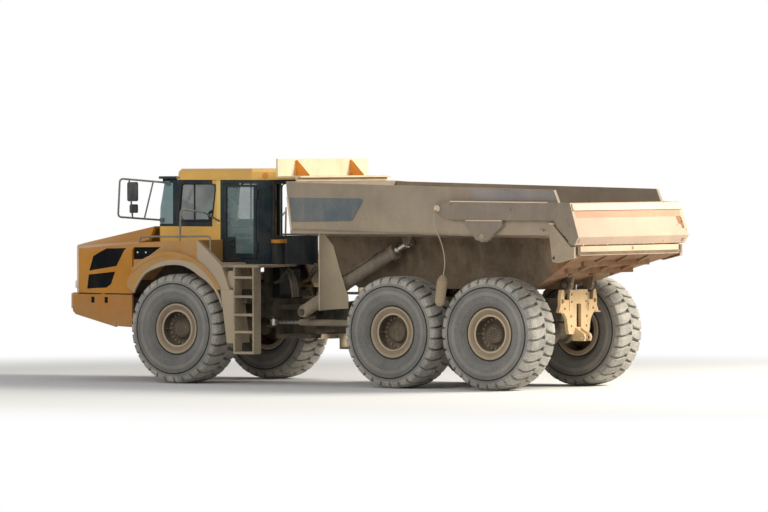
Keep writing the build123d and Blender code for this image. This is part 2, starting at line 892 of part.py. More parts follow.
barrel_end = hoist_length - 300
sleeve_end = hoist_length - 230
sleeve_start = 190
rod_start = 280
with BuildPart() as hoist_barrels:
    along_hoist(0, barrel_end, hoist_barrel_radius)
    along_hoist(barrel_end - 110, barrel_end, hoist_barrel_radius + 22)
    disc_y(*hoist_lower, hoist_eye_radius, hoist_y + hoist_eye_width / 2, hoist_eye_width)
    block_half = hoist_barrel_radius + 60
    for y_inner, y_outer in (
        (hoist_y - block_half, hoist_stub_y + 2),
        (hoist_pin_y - 2, hoist_y + block_half),
    ):
        disc_y(*hoist_lower, hoist_eye_radius + 30, y_outer, y_outer - y_inner, Mode.SUBTRACT)
    along_hoist(sleeve_start - 20, barrel_end, hoist_stage_radius + pin_clearance, Mode.SUBTRACT)
    bore = hoist_pin_radius + pin_clearance
    disc_y(*hoist_lower, bore, hoist_y + hoist_eye_width / 2, hoist_eye_width, Mode.SUBTRACT)
    mirror(about=Plane.XZ)
finish(hoist_barrels, "hoist_barrels")

with BuildPart() as hoist_sleeves:
    along_hoist(sleeve_start, sleeve_end, hoist_stage_radius)
    along_hoist(rod_start - 20, sleeve_end, hoist_rod_radius + pin_clearance, Mode.SUBTRACT)
    mirror(about=Plane.XZ)
finish(hoist_sleeves, "hoist_sleeves")

with BuildPart() as hoist_rods:
    along_hoist(rod_start, hoist_length - hoist_eye_radius + 10, hoist_rod_radius)
    disc_y(*hoist_upper, hoist_eye_radius, hoist_y + hoist_eye_width / 2, hoist_eye_width)
    mirror(about=Plane.XZ)
finish(hoist_rods, "hoist_rods")

# Steering cylinders: barrels on the rear frame, rods to the front frame, one on each side.
steer_run = Vector(steer_upper[0] - steer_lower[0], steer_upper[1] - steer_lower[1], 0)
steer_length = steer_run.length
steer_path = steer_run.normalized()
steer_barrel_end = 1090
steer_rod_start = steer_length - 1100


def along_steering(start, end, radius, mode=Mode.ADD):
    """A round length of the left steering cylinder, measured from its barrel's pin."""
    foot = Vector(fx(steer_lower[0]), steer_lower[1], steer_cylinder_z) + steer_path * start
    with BuildSketch(Plane(origin=foot, z_dir=steer_path)) as face:
        Circle(radius)
    extrude(face.sketch, amount=end - start, mode=mode)


steer_eye_bottom = steer_cylinder_z - steer_eye_height / 2
steer_eye_top = steer_cylinder_z + steer_eye_height / 2
for side_name, side in (("left", 1), ("right", -1)):
    with BuildPart() as steer_barrel:
        along_steering(steer_eye_radius - 10, steer_barrel_end, steer_barrel_radius)
        disc_z(*steer_lower, steer_eye_radius, steer_eye_bottom, steer_eye_top)
        bore = steer_rod_radius + pin_clearance
        along_steering(steer_eye_radius + 10, steer_barrel_end, bore, Mode.SUBTRACT)
        hole = steer_eye_pin_radius + pin_clearance
        disc_z(*steer_lower, hole, steer_eye_bottom, steer_eye_top, Mode.SUBTRACT)
        if side < 0:
            mirror(about=Plane.XZ, mode=Mode.REPLACE)
    finish(steer_barrel, f"steering_barrel_{side_name}")

    with BuildPart() as steer_rod:
        along_steering(steer_rod_start, steer_length - steer_eye_radius + 10, steer_rod_radius)
        disc_z(*steer_upper, steer_eye_radius, steer_eye_bottom, steer_eye_top)
        if side < 0:
            mirror(about=Plane.XZ, mode=Mode.REPLACE)
    finish(steer_rod, f"steering_rod_{side_name}")

# Front frame: rails, crossbars, cab posts, spring seats and the yoke with the steering pin.
yoke_upper = nose_top + swing_gap
yoke_lower = nose_bottom - swing_gap - yoke_plate
with BuildPart() as front_frame:
    prism_y(
        [
            (front_frame_nose, front_rail_top),
            (front_frame_rear, front_rail_top),
            (front_frame_rear, front_rail_bottom),
            (2100, front_rail_bottom),
            (2450, front_rail_bottom + 160),
            (front_frame_nose, front_rail_bottom + 160),
        ],
        rail_outer_y,
        frame_rail_width,
    )
    # Spring seats over the axle, cab posts and fender posts.
    block(-90, 90, frame_inner_y + 10, rail_outer_y - 10, axle_z + 60, front_rail_bottom)
    axle_seat = axle_tube_radius + seat_gap
    disc_y(0, axle_z, axle_seat, rail_outer_y, frame_rail_width, Mode.SUBTRACT)
    for post_front in (600, -1000):
        block(
            post_front,
            post_front - 110,
            frame_inner_y + 10,
            rail_outer_y - 10,
            front_rail_top,
            cab_floor_z - seat_gap,
        )
    # Outrigger arms with the posts of the fenders.
    arm_rear = outrigger_front - crossbar_width
    arm_bottom = outrigger_top - crossbar_width
    block(outrigger_front, arm_rear, rail_outer_y + seat_gap, 1450, arm_bottom, outrigger_top)
    post_bottom = outrigger_top - 40
    block(fender_post_x, fender_post_x - 80, 1000, 1400, post_bottom, fender_foot_z - seat_gap)
    # Ears for the steering rods.
    for ear_z in steer_ear_planes:
        block(
            front_frame_rear - 20,
            steer_upper[0] - 60,
            rail_outer_y + seat_gap,
            steer_upper[1] + 90,
            ear_z,
            ear_z + steer_ear_thickness,
        )
    mirror(about=Plane.XZ)
    block(outrigger_front, arm_rear, -frame_inner_y, frame_inner_y, arm_bottom, outrigger_top)
    for front, rear in ((600, 480), (1900, 1780)):
        block(front, rear, -frame_inner_y, frame_inner_y, front_rail_bottom, engine_bottom - seat_gap)
    block(front_frame_nose, front_frame_nose - 80, -frame_inner_y, frame_inner_y, 1290, front_rail_top)
    block(
        front_frame_rear,
        front_frame_rear - 80,
        -rail_outer_y,
        rail_outer_y,
        yoke_lower,
        front_rail_top,
    )
    for plate_bottom in (yoke_upper, yoke_lower):
        prism_z(
            [
                (front_frame_rear - 40, rail_outer_y),
                (front_frame_rear - 140, rail_outer_y),
                (-steer_setback, yoke_radius - 10),
            ],
            plate_bottom,
            plate_bottom + yoke_plate,
        )
        disc_z(-steer_setback, 0, yoke_radius, plate_bottom, plate_bottom + yoke_plate)
    disc_z(-steer_setback, 0, steer_pin_radius, yoke_lower, yoke_upper + yoke_plate)
finish(front_frame, "front_frame")

with BuildPart() as engine:
    block(1900, 480, -engine_half_width, engine_half_width, engine_bottom, engine_top)
finish(engine, "engine")

# Bumper: a hollow wrap-round shell under the hood.
bumper_plan = [(1390, 1450), (2380, 1360), (2560, 1170), (bumper_front, 500)]
with BuildPart() as bumper_space:
    prism_z(
        [
            (1380, 1450 - bumper_wall),
            (2360, 1360 - bumper_wall),
            (2535, 1165 - bumper_wall),
            (bumper_front - bumper_wall, 500 - bumper_wall / 2),
        ],
        800,
        bumper_top - bumper_wall,
    )
with BuildPart() as bumper:
    prism_z(bumper_plan, 900, bumper_top)
    prism_y(
        [
            (1390, 934),
            (2320, 1140),
            (2440, 1240),
            (3100, 1240),
            (3100, bumper_top),
            (1390, bumper_top),
        ],
        1600,
        3200,
        Mode.INTERSECT,
    )
    add(bumper_space.part, mode=Mode.SUBTRACT)
    block(1300, 2450, -1150, 1150, bumper_top - bumper_wall - 1, bumper_top, Mode.SUBTRACT)
    for pad_x, pad_y in ((2800, 420), (1700, 1370)):
        for pad_side in (1, -1):
            with Locations((fx(pad_x), pad_side * pad_y, (bumper_top + hood_bottom - seat_gap) / 2)):
                Box(80, 60, hood_bottom - seat_gap - bumper_top)
    # Ears and pins of the hood's hinges.
    for ear_side in (1, -1):
        ear_outer = hood_knuckle_y + hinge_play + hood_ear_width
        ear_y = ear_outer if ear_side > 0 else hood_ear_width - ear_outer
        prism_y(
            [
                (hood_hinge_x - hood_knuckle_radius, bumper_top - 10),
                (hood_hinge_x - hood_knuckle_radius, hood_hinge_z),
                (hood_hinge_x + hood_knuckle_radius, hood_hinge_z),
                (hood_hinge_x + hood_knuckle_radius, bumper_top - 10),
            ],
            ear_y,
            hood_ear_width,
        )
        disc_y(hood_hinge_x, hood_hinge_z, hood_knuckle_radius, ear_y, hood_ear_width)
        pin_length = ear_outer - hood_knuckle_y + hood_knuckle_width + hinge_play
        pin_y = ear_outer if ear_side > 0 else pin_length - ear_outer
        disc_y(hood_hinge_x, hood_hinge_z, hood_pin_radius, pin_y, pin_length)
finish(bumper, "bumper")

# Hood: a hollow shell with sloping shoulders, from a plan, a side view and a lofted section.
def hood_body(inset):
    """The hood's solid form, drawn in by inset on the sides, the front and the top."""
    sections = []
    for x, shoulder_z, dome_z in ((hood_rear - 10, 2390, 2675), (2950, 2235, 2300)):
        half = [
            (1450 - inset, hood_bottom - 10),
            (1440 - inset, shoulder_z - 130 - inset),
            (1330 - inset, shoulder_z - 20 - inset),
            (960 - inset, shoulder_z + 40 - inset),
            (800 - inset, dome_z - 20 - inset),
        ]
        with BuildSketch(Plane.YZ.offset(fx(x))) as face:
            with BuildLine():
                Polyline(*half, *[(-y, z) for y, z in reversed(half)], close=True)
            make_face()
        sections.append(face.sketch.face())
    loft(sections=sections, ruled=True)
    prism_z(
        [
            (hood_rear, 1445 - inset),
            (1900, 1405 - inset),
            (2300 - inset / 2, 1300 - inset),
            (2550 - inset, 1020 - inset / 2),
            (2930 - inset, 450 - inset / 2),
        ],
        hood_bottom - min(inset, 10),
        3000,
        Mode.INTERSECT,
    )
    prism_y(
        [
            (hood_rear - min(inset, 10), 1490),
            (2940 - inset, 1490),
            (2925 - inset, 1850),
            (2830 - inset, 2210 - inset),
            (2760 - inset, 2290 - inset),
            (2150, 2480 - inset),
            (1720, 2560 - inset),
            (1120, 2660 - inset),
            (hood_rear - min(inset, 10), 2668 - inset),
        ],
        1600,
        3200,
        Mode.INTERSECT,
    )


# Columns: corners (distance in front of the front axle, height) of the side vents
vent_upper = [(1630, 2275), (1195, 2286), (1390, 1977), (2000, 1894), (1910, 2144)]
vent_lower = [(2010, 1825), (1420, 1882), (1510, 1667), (1615, 1606), (2046, 1585)]

def head_lamp_boxes(play, mode):
    """A box square to the hood's slanting corner on each side, grown by play."""
    for side in (1, -1):
        spot = Location((fx(lamp_x), side * lamp_y, lamp_z), (0, 0, side * lamp_turn))
        with Locations(spot):
            Box(140, lamp_width + 2 * play, lamp_height + 2 * play, mode=mode)


with BuildPart() as hood_space:
    hood_body(hood_wall)
with BuildPart() as hood:
    hood_body(0)
    add(hood_space.part, mode=Mode.SUBTRACT)
    for vent in (vent_upper, vent_lower):
        prism_y(vent, 1500, 180, Mode.SUBTRACT)
        prism_y(vent, -1500 + 180, 180, Mode.SUBTRACT)
    head_lamp_boxes(seat_gap, Mode.SUBTRACT)
    # Front opening for the grille.
    block(2700, 3000, -grille_half_width, grille_half_width, grille_bottom, grille_top, Mode.SUBTRACT)
    # Hinge knuckles in round notches of the front wall's foot.
    notch_outer = hood_knuckle_y + 2 * hinge_play + hood_ear_width + 5
    notch_width = hood_ear_width + hood_knuckle_width + 4 * hinge_play + 5
    for knuckle_side in (1, -1):
        notch_y = notch_outer if knuckle_side > 0 else notch_width - notch_outer
        notch_radius = hood_knuckle_radius + 3 * hinge_play
        disc_y(hood_hinge_x, hood_hinge_z, notch_radius, notch_y, notch_width, Mode.SUBTRACT)
        prism_y(
            [
                (hood_hinge_x - notch_radius, hood_bottom - 20),
                (hood_hinge_x - notch_radius, hood_hinge_z),
                (hood_hinge_x + notch_radius, hood_hinge_z),
                (hood_hinge_x + notch_radius, hood_bottom - 20),
            ],
            notch_y,
            notch_width,
            Mode.SUBTRACT,
        )
        knuckle_y = hood_knuckle_y if knuckle_side > 0 else hood_knuckle_width - hood_knuckle_y
        disc_y(hood_hinge_x, hood_hinge_z, hood_knuckle_radius, knuckle_y, hood_knuckle_width)
        prism_y(
            [
                (hood_hinge_x - 35, hood_hinge_z + 60),
                (hood_hinge_x - 35, hood_hinge_z),
                (hood_hinge_x - 5, hood_hinge_z),
                (hood_hinge_x - 5, hood_hinge_z + 60),
            ],
            knuckle_y,
            hood_knuckle_width,
        )
        knuckle_bore = hood_pin_radius + pin_clearance
        disc_y(hood_hinge_x, hood_hinge_z, knuckle_bore, knuckle_y, hood_knuckle_width, Mode.SUBTRACT)
finish(hood, "hood")

with BuildPart() as side_vents:
    for vent in (vent_upper, vent_lower):
        prism_y(vent, 1395, 20)
    mirror(about=Plane.XZ)
finish(side_vents, "side_vents")

with BuildPart() as grille:
    for bar in range(grille_bars):
        bar_z = grille_bottom + (bar + 0.5) * (grille_top - grille_bottom) / grille_bars
        block(2880, 2860, -grille_half_width, grille_half_width, bar_z - 22, bar_z + 22)
    for post_y in (-grille_half_width, -15, grille_half_width - 30):
        block(2862, 2845, post_y, post_y + 30, grille_bottom, grille_top)
finish(grille, "grille")

# Fenders: hollow shells round the front wheel arches, closed outside and open inside.
arch_center = (120, 1000)
arch_radius = 1165
fender_profile = [
    (1020, 1550),
    (1020, 2375),
    (480, 2400),
    (-440, 2435),
    (-615, 2300),
    (-970, 2000),
    (-1136, fender_foot_z),
    (-870, fender_foot_z),
]
fender_hollow = [
    (1020 - fender_wall, 1500),
    (1020 - fender_wall, 2375 - fender_wall),
    (480, 2400 - fender_wall),
    (-425, 2435 - fender_wall),
    (-590, 2300 - fender_wall),
    (-930, 1985),
    (-1085, fender_foot_z + fender_wall),
    (-980, fender_foot_z + fender_wall),
]
fender_plan = [(1100, 1430), (480, 1470), (-440, 1590), (-1150, 1620), (-1150, 860), (1100, 860)]


def fender_body(points, inset, radius, inner_y):
    """The left fender's form, drawn in from its outer face by inset."""
    prism_y(points, 1700, 1700 - inner_y)
    disc_y(*arch_center, radius, 1700, 900, Mode.SUBTRACT)
    with BuildSketch(Plane.XY.offset(1400)) as face:
        with BuildLine():
            Polyline(*[(fx(x), min(y, max(y - inset, 861))) for x, y in fender_plan], close=True)
        make_face()
    extrude(face.sketch, amount=1200, mode=Mode.INTERSECT)


with BuildPart() as fender_space:
    fender_body(fender_hollow, fender_wall, arch_radius + 35, 850)
    block(
        walk_front + fender_wall,
        walk_rear - fender_wall,
        fender_inner_y - 110,
        walk_outer_y + fender_wall,
        walk_z - fender_wall,
        2500,
        Mode.SUBTRACT,
    )
with BuildPart() as front_fenders:
    fender_body(fender_profile, 0, arch_radius, 860)
    add(fender_space.part, mode=Mode.SUBTRACT)
    # Walkway beside the cab, low enough for the door to swing over it.
    block(walk_front, walk_rear, fender_inner_y - 110, walk_outer_y, walk_z, 2500, Mode.SUBTRACT)
    # Flared lip round the arch.
    with BuildSketch(Plane.XZ.offset(-fender_outer_y)) as lip:
        with Locations((fx(arch_center[0]), arch_center[1])):
            Circle(arch_radius + 70)
            Circle(arch_radius, mode=Mode.SUBTRACT)
        with Locations((fx(-50), 600)):
            Rectangle(3200, 2000, mode=Mode.SUBTRACT)
        with Locations((fx(1400), 1500)):
            Rectangle(1000, 3000, mode=Mode.SUBTRACT)
    extrude(lip.sketch, amount=fender_outer_y - 1440)
    prism_y([(1020, 2301), (413, 2310), (768, 2104), (1020, 2094)], 1500, 150, Mode.SUBTRACT)
    mirror(about=Plane.XZ)
finish(front_fenders, "front_fenders")

with BuildPart() as fender_flaps:
    flap_top = fender_foot_z - seat_gap
    prism_y([(-955, flap_top), (-985, flap_top), (-1116, 700), (-1086, 700)], fender_outer_y - 40, 600)
    prism_y([(-955, flap_top), (-1225, flap_top), (-1235, 700), (-1086, 700)], fender_outer_y - 10, 30)
    mirror(about=Plane.XZ)
finish(fender_flaps, "fender_flaps")

# Steps: a deck behind the fender on each side, with a ladder of treads below it.
# Columns: height of the tread's top, front edge, rear edge
treads = [
    (1830, -1270, -1650),
    (1505, -1270, -1650),
    (1200, -1270, -1650),
    (910, -1270, -1650),
    (560, -1275, -1640),
]
with BuildPart() as side_steps:
    block(deck_front, deck_rear, deck_inner_y, step_outer_y - 20, deck_z - 40, deck_z)
    block(cab_rear - 10, deck_rear, deck_stand_y, deck_inner_y, deck_z - 40, deck_z)
    for stringer_x, bottom in ((-1245, 520), (-1640, 520)):
        block(stringer_x, stringer_x - 30, step_inner_y, step_outer_y, bottom, deck_z - 40)
    for tread_z, tread_front, tread_rear in treads:
        block(tread_front, tread_rear, step_inner_y, step_outer_y, tread_z - 40, tread_z)
    block(outrigger_front - crossbar_width, -1250, 1300, 1450, outrigger_top - 80, outrigger_top - 10)
    block(-1245, -1275, 1300, 1460, outrigger_top - 80, outrigger_top - 10)
    mirror(about=Plane.XZ)
finish(side_steps, "side_steps")

# Cab: one hollow shell split at the waist into yellow lower panels and the dark upper frame.
cab_plan = [
    (1000, cab_half_width - 120),
    (880, cab_half_width),
    (cab_rear + cab_rear_corner, cab_half_width),
    (cab_rear, cab_half_width - cab_rear_corner),
]
cab_inner_plan = [
    (1000, cab_half_width - 120 - cab_wall),
    (880 - cab_wall / 2, cab_half_width - cab_wall),
    (cab_rear + cab_rear_corner + cab_wall / 2, cab_half_width - cab_wall),
    (cab_rear + cab_wall, cab_half_width - cab_rear_corner - cab_wall / 2),
]
windshield_slope = (cab_front - cab_front_top) / (cab_top_z - cab_waist_z)


def cab_prism(plan, bottom, top, front_inset):
    """The cab's plan raised between two heights behind its sloping front."""
    prism_z(plan, bottom, top)
    prism_y(
        [
            (cab_front - front_inset, cab_floor_z - 10),
            (cab_front - front_inset, cab_waist_z),
            (cab_front_top - front_inset, cab_top_z),
            (cab_rear - 10, cab_top_z),
            (cab_rear - 10, cab_floor_z - 10),
        ],
        1000,
        2000,
        Mode.INTERSECT,
    )


with BuildPart() as cab_space:
    cab_prism(cab_inner_plan, cab_floor_z + cab_wall, cab_top_z - cab_wall, cab_wall)

# Columns: corners of the side windows as (distance from the front axle, height)
front_side_window = [
    (500, cab_waist_z + 50),
    (435, window_top),
    (-300, window_top),
    (-220, cab_waist_z + 50),
]
rear_side_window = [(-460, 2350), (-460, window_top), (-1130, window_top), (-1130, 2350)]
rear_window = [(-610, 2500), (-610, window_top), (610, window_top), (610, 2500)]
windshield = [(-680, cab_waist_z + 60), (-640, window_top), (640, window_top), (680, cab_waist_z + 60)]


def window_points(points, play):
    """A window's corners drawn in by play on every side."""
    middle_a = sum(a for a, b in points) / len(points)
    middle_b = sum(b for a, b in points) / len(points)
    return [
        (a - play if a > middle_a else a + play, b - play if b > middle_b else b + play)
        for a, b in points
    ]


def cut_cab_openings():
    """Cuts the windows and the door opening through the cab's walls."""
    prism_y(front_side_window, cab_half_width + 20, cab_wall + 40, Mode.SUBTRACT)
    prism_y(front_side_window, cab_wall + 20 - cab_half_width, cab_wall + 40, Mode.SUBTRACT)
    prism_y(rear_side_window, cab_wall + 20 - cab_half_width, cab_wall + 40, Mode.SUBTRACT)
    door_opening = [
        (door_front, door_bottom),
        (door_front, door_top),
        (door_rear, door_top),
        (door_rear, door_bottom),
    ]
    prism_y(door_opening, cab_half_width + 20, cab_wall + 40, Mode.SUBTRACT)
    prism_x_left(rear_window, cab_rear + cab_wall + 20, cab_wall + 40, Mode.SUBTRACT)
    prism_x_left(windshield, cab_front + 60, 320, Mode.SUBTRACT)


def door_hinge_ears(hinge_z):
    """Two ears on the cab's left side with the pin that the door's knuckle turns on."""
    top_ear = hinge_z + door_hinge_length + hinge_play
    for ear_z in (hinge_z - hinge_play - hinge_ear, top_ear):
        disc_z(door_hinge_x, door_hinge_y, door_hinge_radius, ear_z, ear_z + hinge_ear)
        ear_front = door_hinge_x + door_hinge_radius
        ear_rear = door_hinge_x - door_hinge_radius
        block(ear_front, ear_rear, cab_half_width - 10, door_hinge_y, ear_z, ear_z + hinge_ear)
    disc_z(door_hinge_x, door_hinge_y, door_pin_radius, hinge_z - hinge_ear, top_ear + hinge_ear)


with BuildPart() as cab_shell:
    cab_prism(cab_plan, cab_floor_z, cab_waist_z, 0)
    add(cab_space.part, mode=Mode.SUBTRACT)
    cut_cab_openings()
    door_hinge_ears(door_hinge_heights[0])
finish(cab_shell, "cab_shell")

with BuildPart() as cab_frame:
    cab_prism(cab_plan, cab_waist_z, cab_top_z, 0)
    add(cab_space.part, mode=Mode.SUBTRACT)
    cut_cab_openings()
    door_hinge_ears(door_hinge_heights[1])
finish(cab_frame, "cab_frame")

# Roof: a thick cap with a thin visor ahead of it and cut rear corners. A round beacon lies flush
# in each rear corner, and work lamps hang under the visor.
visor_bottom = cab_top_z + 15
beacon_x = cab_rear - 60 + roof_rear_corner / 2
beacon_y = roof_half_width - roof_rear_corner / 2


def beacon_disc(side, play, mode):
    """A disc set into the roof's cut rear corner on one side, grown by play."""
    corner = Plane(
        origin=(fx(beacon_x), side * beacon_y, cab_top_z + beacon_rise),
        z_dir=(-1, side, 0),
    )
    with BuildSketch(corner) as face:
        Circle(beacon_radius + play)
    extrude(face.sketch, amount=-(beacon_depth + play), mode=mode)


with BuildPart() as cab_roof:
    prism_z(
        [
            (roof_front, roof_half_width - 120),
            (roof_front - 120, roof_half_width),
            (cab_rear - 60 + roof_rear_corner, roof_half_width),
            (cab_rear - 60, roof_half_width - roof_rear_corner),
        ],
        cab_top_z,
        cab_top_z + roof_thickness,
    )
    chamfer(cab_roof.edges().group_by(Axis.Z)[-1], 55)
    prism_z(
        [(visor_front, roof_half_width - 160), (roof_front - 20, roof_half_width - 40)],
        visor_bottom,
        visor_bottom + visor_thickness,
    )
    for beacon_side in (1, -1):
        beacon_disc(beacon_side, seat_gap, Mode.SUBTRACT)
finish(cab_roof, "cab_roof")

with BuildPart() as roof_lamps:
    for lamp_side in (1, -1):
        beacon_disc(lamp_side, 0, Mode.ADD)
    for lamp_place in work_lamp_places:
        with Locations((
            fx(work_lamp_x),
            lamp_place,
            visor_bottom - seat_gap - work_lamp_height / 2,
        )):
            Box(work_lamp_depth, work_lamp_width, work_lamp_height)
finish(roof_lamps, "roof_lamps")

# Glass: one pane in each window.
pane = cab_half_width - cab_wall / 2 + glass_thickness / 2
with BuildPart() as cab_glass:
    prism_y(window_points(front_side_window, seat_gap), pane, glass_thickness)
    prism_y(window_points(front_side_window, seat_gap), glass_thickness - pane, glass_thickness)
    prism_y(window_points(rear_side_window, seat_gap), glass_thickness - pane, glass_thickness)
    prism_x_left(window_points(rear_window, seat_gap), cab_rear + cab_wall / 2, glass_thickness)
    pane_x = cab_front - cab_wall / 2
    with BuildSketch(Plane.YZ.offset(fx(cab_front + 60))) as face:
        with BuildLine():
            Polyline(*window_points(windshield, seat_gap), close=True)
        make_face()
    extrude(face.sketch, amount=-320)
    prism_y(
        [
            (pane_x, cab_waist_z),
            (pane_x - windshield_slope * (cab_top_z - cab_waist_z), cab_top_z),
            (pane_x - glass_thickness - windshield_slope * (cab_top_z - cab_waist_z), cab_top_z),
            (pane_x - glass_thickness, cab_waist_z),
        ],
        800,
        1600,
        Mode.INTERSECT,
    )
finish(cab_glass, "cab_glass")

# Inside the cab: a seat on its pedestal and a dashboard with the steering wheel.
cab_inside_floor = cab_floor_z + cab_wall
with BuildPart() as cab_seat:
    block(-300, -620, -160, 160, cab_inside_floor + seat_gap, seat_cushion_z - 120)
    block(-180, -700, -260, 260, seat_cushion_z - 120, seat_cushion_z)
    prism_y(
        [
            (-620, seat_cushion_z),
            (-700, seat_back_z),
            (-820, seat_back_z),
            (-750, seat_cushion_z - 100),
            (-690, seat_cushion_z - 100),
        ],
        240,
        480,
    )
finish(cab_seat, "cab_seat")

with BuildPart() as dashboard:
    prism_y(
        [
            (cab_front - cab_wall - seat_gap, cab_inside_floor + seat_gap),
            (cab_front - cab_wall - seat_gap, cab_waist_z - 10),
            (640, cab_waist_z),
            (500, cab_waist_z - 100),
            (560, cab_inside_floor + seat_gap),
        ],
        500,
        1000,
    )
    column_foot = Vector(600, 0, cab_waist_z - 200)
    column_head = Vector(300, 0, cab_waist_z + 40)
    tube([tuple(column_foot), tuple(column_head)], 35, 10)
    wheel_tilt = (column_head - column_foot).normalized()
    wheel_center = Vector(fx(column_head.X), column_head.Y, column_head.Z)
    with BuildSketch(Plane(origin=wheel_center, z_dir=wheel_tilt)) as wheel_face:
        Circle(210)
        Circle(175, mode=Mode.SUBTRACT)
        Rectangle(380, 40)
    extrude(wheel_face.sketch, amount=35)
finish(dashboard, "dashboard")

# Door on the left, hinged along its rear edge, with its window.
door_face_y = cab_half_width + 6
door_thickness = cab_wall - 10
with BuildPart() as cab_door:
    left, right = door_front - door_gap, door_rear + door_gap
    low, high = door_bottom + door_gap, door_top - door_gap
    prism_y([(left, low), (left, high), (right, high), (right, low)], door_face_y, door_thickness)
    prism_y(door_window, door_face_y, door_thickness, Mode.SUBTRACT)
    block(-540, -660, door_face_y + 25, door_face_y + 40, handle_z, handle_z + 30)
    for handle_x in (-540, -635):
        block(handle_x, handle_x - 25, door_face_y - 5, door_face_y + 40, handle_z, handle_z + 30)
    for hinge_z in door_hinge_heights:
        hinge_end = hinge_z + door_hinge_length
        disc_z(door_hinge_x, door_hinge_y, door_hinge_radius, hinge_z, hinge_end)
        block(door_hinge_x + 60, door_hinge_x, cab_half_width + 5, door_hinge_y, hinge_z, hinge_end)
        hole = door_pin_radius + pin_clearance
        disc_z(door_hinge_x, door_hinge_y, hole, hinge_z, hinge_end, Mode.SUBTRACT)
finish(cab_door, "cab_door")

with BuildPart() as door_glass:
    prism_y(window_points(door_window, seat_gap), pane, glass_thickness)
finish(door_glass, "door_glass")

# Mirror arms and heads on both front corners of the cab.
mirror_head_x = 1090
mirror_head_depth = 50
# Columns: distance to the left, height, width, height of the glass, corner radius
mirror_heads = [(1360, 3250, 250, 330, 40), (1330, 2960, 180, 150, 30)]
with BuildPart() as mirrors:
    mirror_top = cab_top_z + 25
    frame_points = [
        (700, 872, cab_top_z - 50),
        (1220, 1550, mirror_top),
        (1260, 1550, 2820),
        (840, 872, 2760),
    ]
    tube(frame_points, 17, 60)
    block(740, 660, cab_half_width + seat_gap, 885, 3360, 3430)
    block(870, 800, cab_half_width + seat_gap, 885, 2725, 2795)
    tube([(860, 1081, 3422), (1000, 1150, 2784)], 14, 10)
    for head_y, head_z, head_width, head_height, head_round in mirror_heads:
        with BuildSketch(Plane.YZ.offset(fx(mirror_head_x))) as head:
            with Locations((head_y, head_z)):
                RectangleRounded(head_width, head_height, head_round)
        extrude(head.sketch, amount=mirror_head_depth / 2, both=True)
    tube([(1120, 1419, 3460), (1120, 1324, 2800)], 14, 10)
    mirror(about=Plane.XZ)
finish(mirrors, "mirrors")

# Handrails on the fenders and the decks.
with BuildPart() as handrails:
    tube([(960, 1330, 2378.8), (960, 1330, 2480), (-700, 1560, 2500), (-700, 1560, 2242)], 16, 60)
    tube([(-43, 1540, 2420.9), (-60, 1540, 2960), (-300, 1200, 2900), (-380, 866.4, 2750)], 16, 60)
    mirror(about=Plane.XZ)
finish(handrails, "handrails")

# Behind the cab: hydraulic tank, air cleaner and exhaust.
with BuildPart() as hydraulic_tank:
    block(-1010, -1240, -300, 300, outrigger_top + seat_gap, cab_floor_z - 30)
    fillet(hydraulic_tank.edges().filter_by(Axis.Y), 60)
finish(hydraulic_tank, "hydraulic_tank")

with BuildPart() as air_cleaner:
    disc_z(-1500, 690, 125, deck_z + seat_gap, 2380)
    disc_z(-1500, 690, 135, 2380, 2440)
    disc_z(-1500, -690, 75, deck_z + seat_gap, 3100)
    disc_z(-1500, -690, 45, 3100, 3380)
finish(air_cleaner, "air_cleaner")

# Head lamps in the hood's front corners and work lamps on the roof's rear.
with BuildPart() as head_lamps:
    head_lamp_boxes(0, Mode.ADD)
finish(head_lamps, "head_lamps")

# Tailgate wire: a limp rope from the left arm's front eye down to its wrapped end.
# Columns: distance from the front axle, distance to the left, height
cable_route = [
    (-5430, tailgate_outer_y, 2950),
    (-5430, 1745, 2950),
    (-5430, 1785, 2915),
    (-5432, 1797, 2840),
    (-5445, 1800, 2740),
    (-5480, 1800, 2630),
    (-5560, 1800, 2480),
    (-5620, 1800, 2320),
    (-5650, 1800, 2160),
    (-5650, 1800, 2030),
    (-5618, 1800, 1880),
    (-5575, 1800, 1640),
    (-5545, 1800, 1400),
]
cable_radius = 9


def cord_radii(corners):
    """The largest arc at each corner that its two runs allow."""
    radii = []
    for before, corner, after in zip(corners, corners[1:], corners[2:]):
        run_in, run_out = corner - before, after - corner
        half_turn = radians(run_in.get_angle(run_out)) / 2
        radii.append(0.45 * min(run_in.length, run_out.length) / tan(half_turn))
    return radii


cable_points = [Vector(fx(x), y, z) for x, y, z in cable_route]
cable_radii = cord_radii(cable_points)
print("cable arc radii", [round(r) for r in cable_radii])
with BuildPart() as tailgate_cable:
    with BuildLine() as cable_path:
        FilletPolyline(*cable_points, radius=cable_radii)
    cable_start = Plane(origin=cable_path.line @ 0, z_dir=cable_path.line % 0)
    with BuildSketch(cable_start) as cable_section:
        Circle(cable_radius)
    sweep(cable_section.sketch, path=cable_path.line)
finish(tailgate_cable, "tailgate_cable")
print("cable length", round(tailgate_cable.part.volume / (pi * cable_radius**2)))

# Columns: distance down the bundle, its radius there
bundle_rings = [(0, 50), (140, 95), (420, 85), (520, 40)]
bundle_top = Vector(fx(-5620), 1800, 1900)
bundle_run = Vector(83, 0, -513).normalized()
with BuildPart() as cable_bundle:
    bundle_faces = []
    for reach, ring_radius in bundle_rings:
        with BuildSketch(Plane(origin=bundle_top + bundle_run * reach, z_dir=bundle_run)) as ring:
            Circle(ring_radius)
        bundle_faces.append(ring.sketch.face())
    for upper, lower in zip(bundle_faces, bundle_faces[1:]):
        loft(sections=[upper, lower], ruled=True)
    with BuildSketch(cable_start) as cable_bore:
        Circle(cable_radius + seat_gap)
    sweep(cable_bore.sketch, path=cable_path.line, mode=Mode.SUBTRACT)
finish(cable_bundle, "cable_bundle")
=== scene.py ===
import json
import math
import random

import bmesh
import bpy
from mathutils import Matrix, Vector, noise
from mathutils.bvhtree import BVHTree


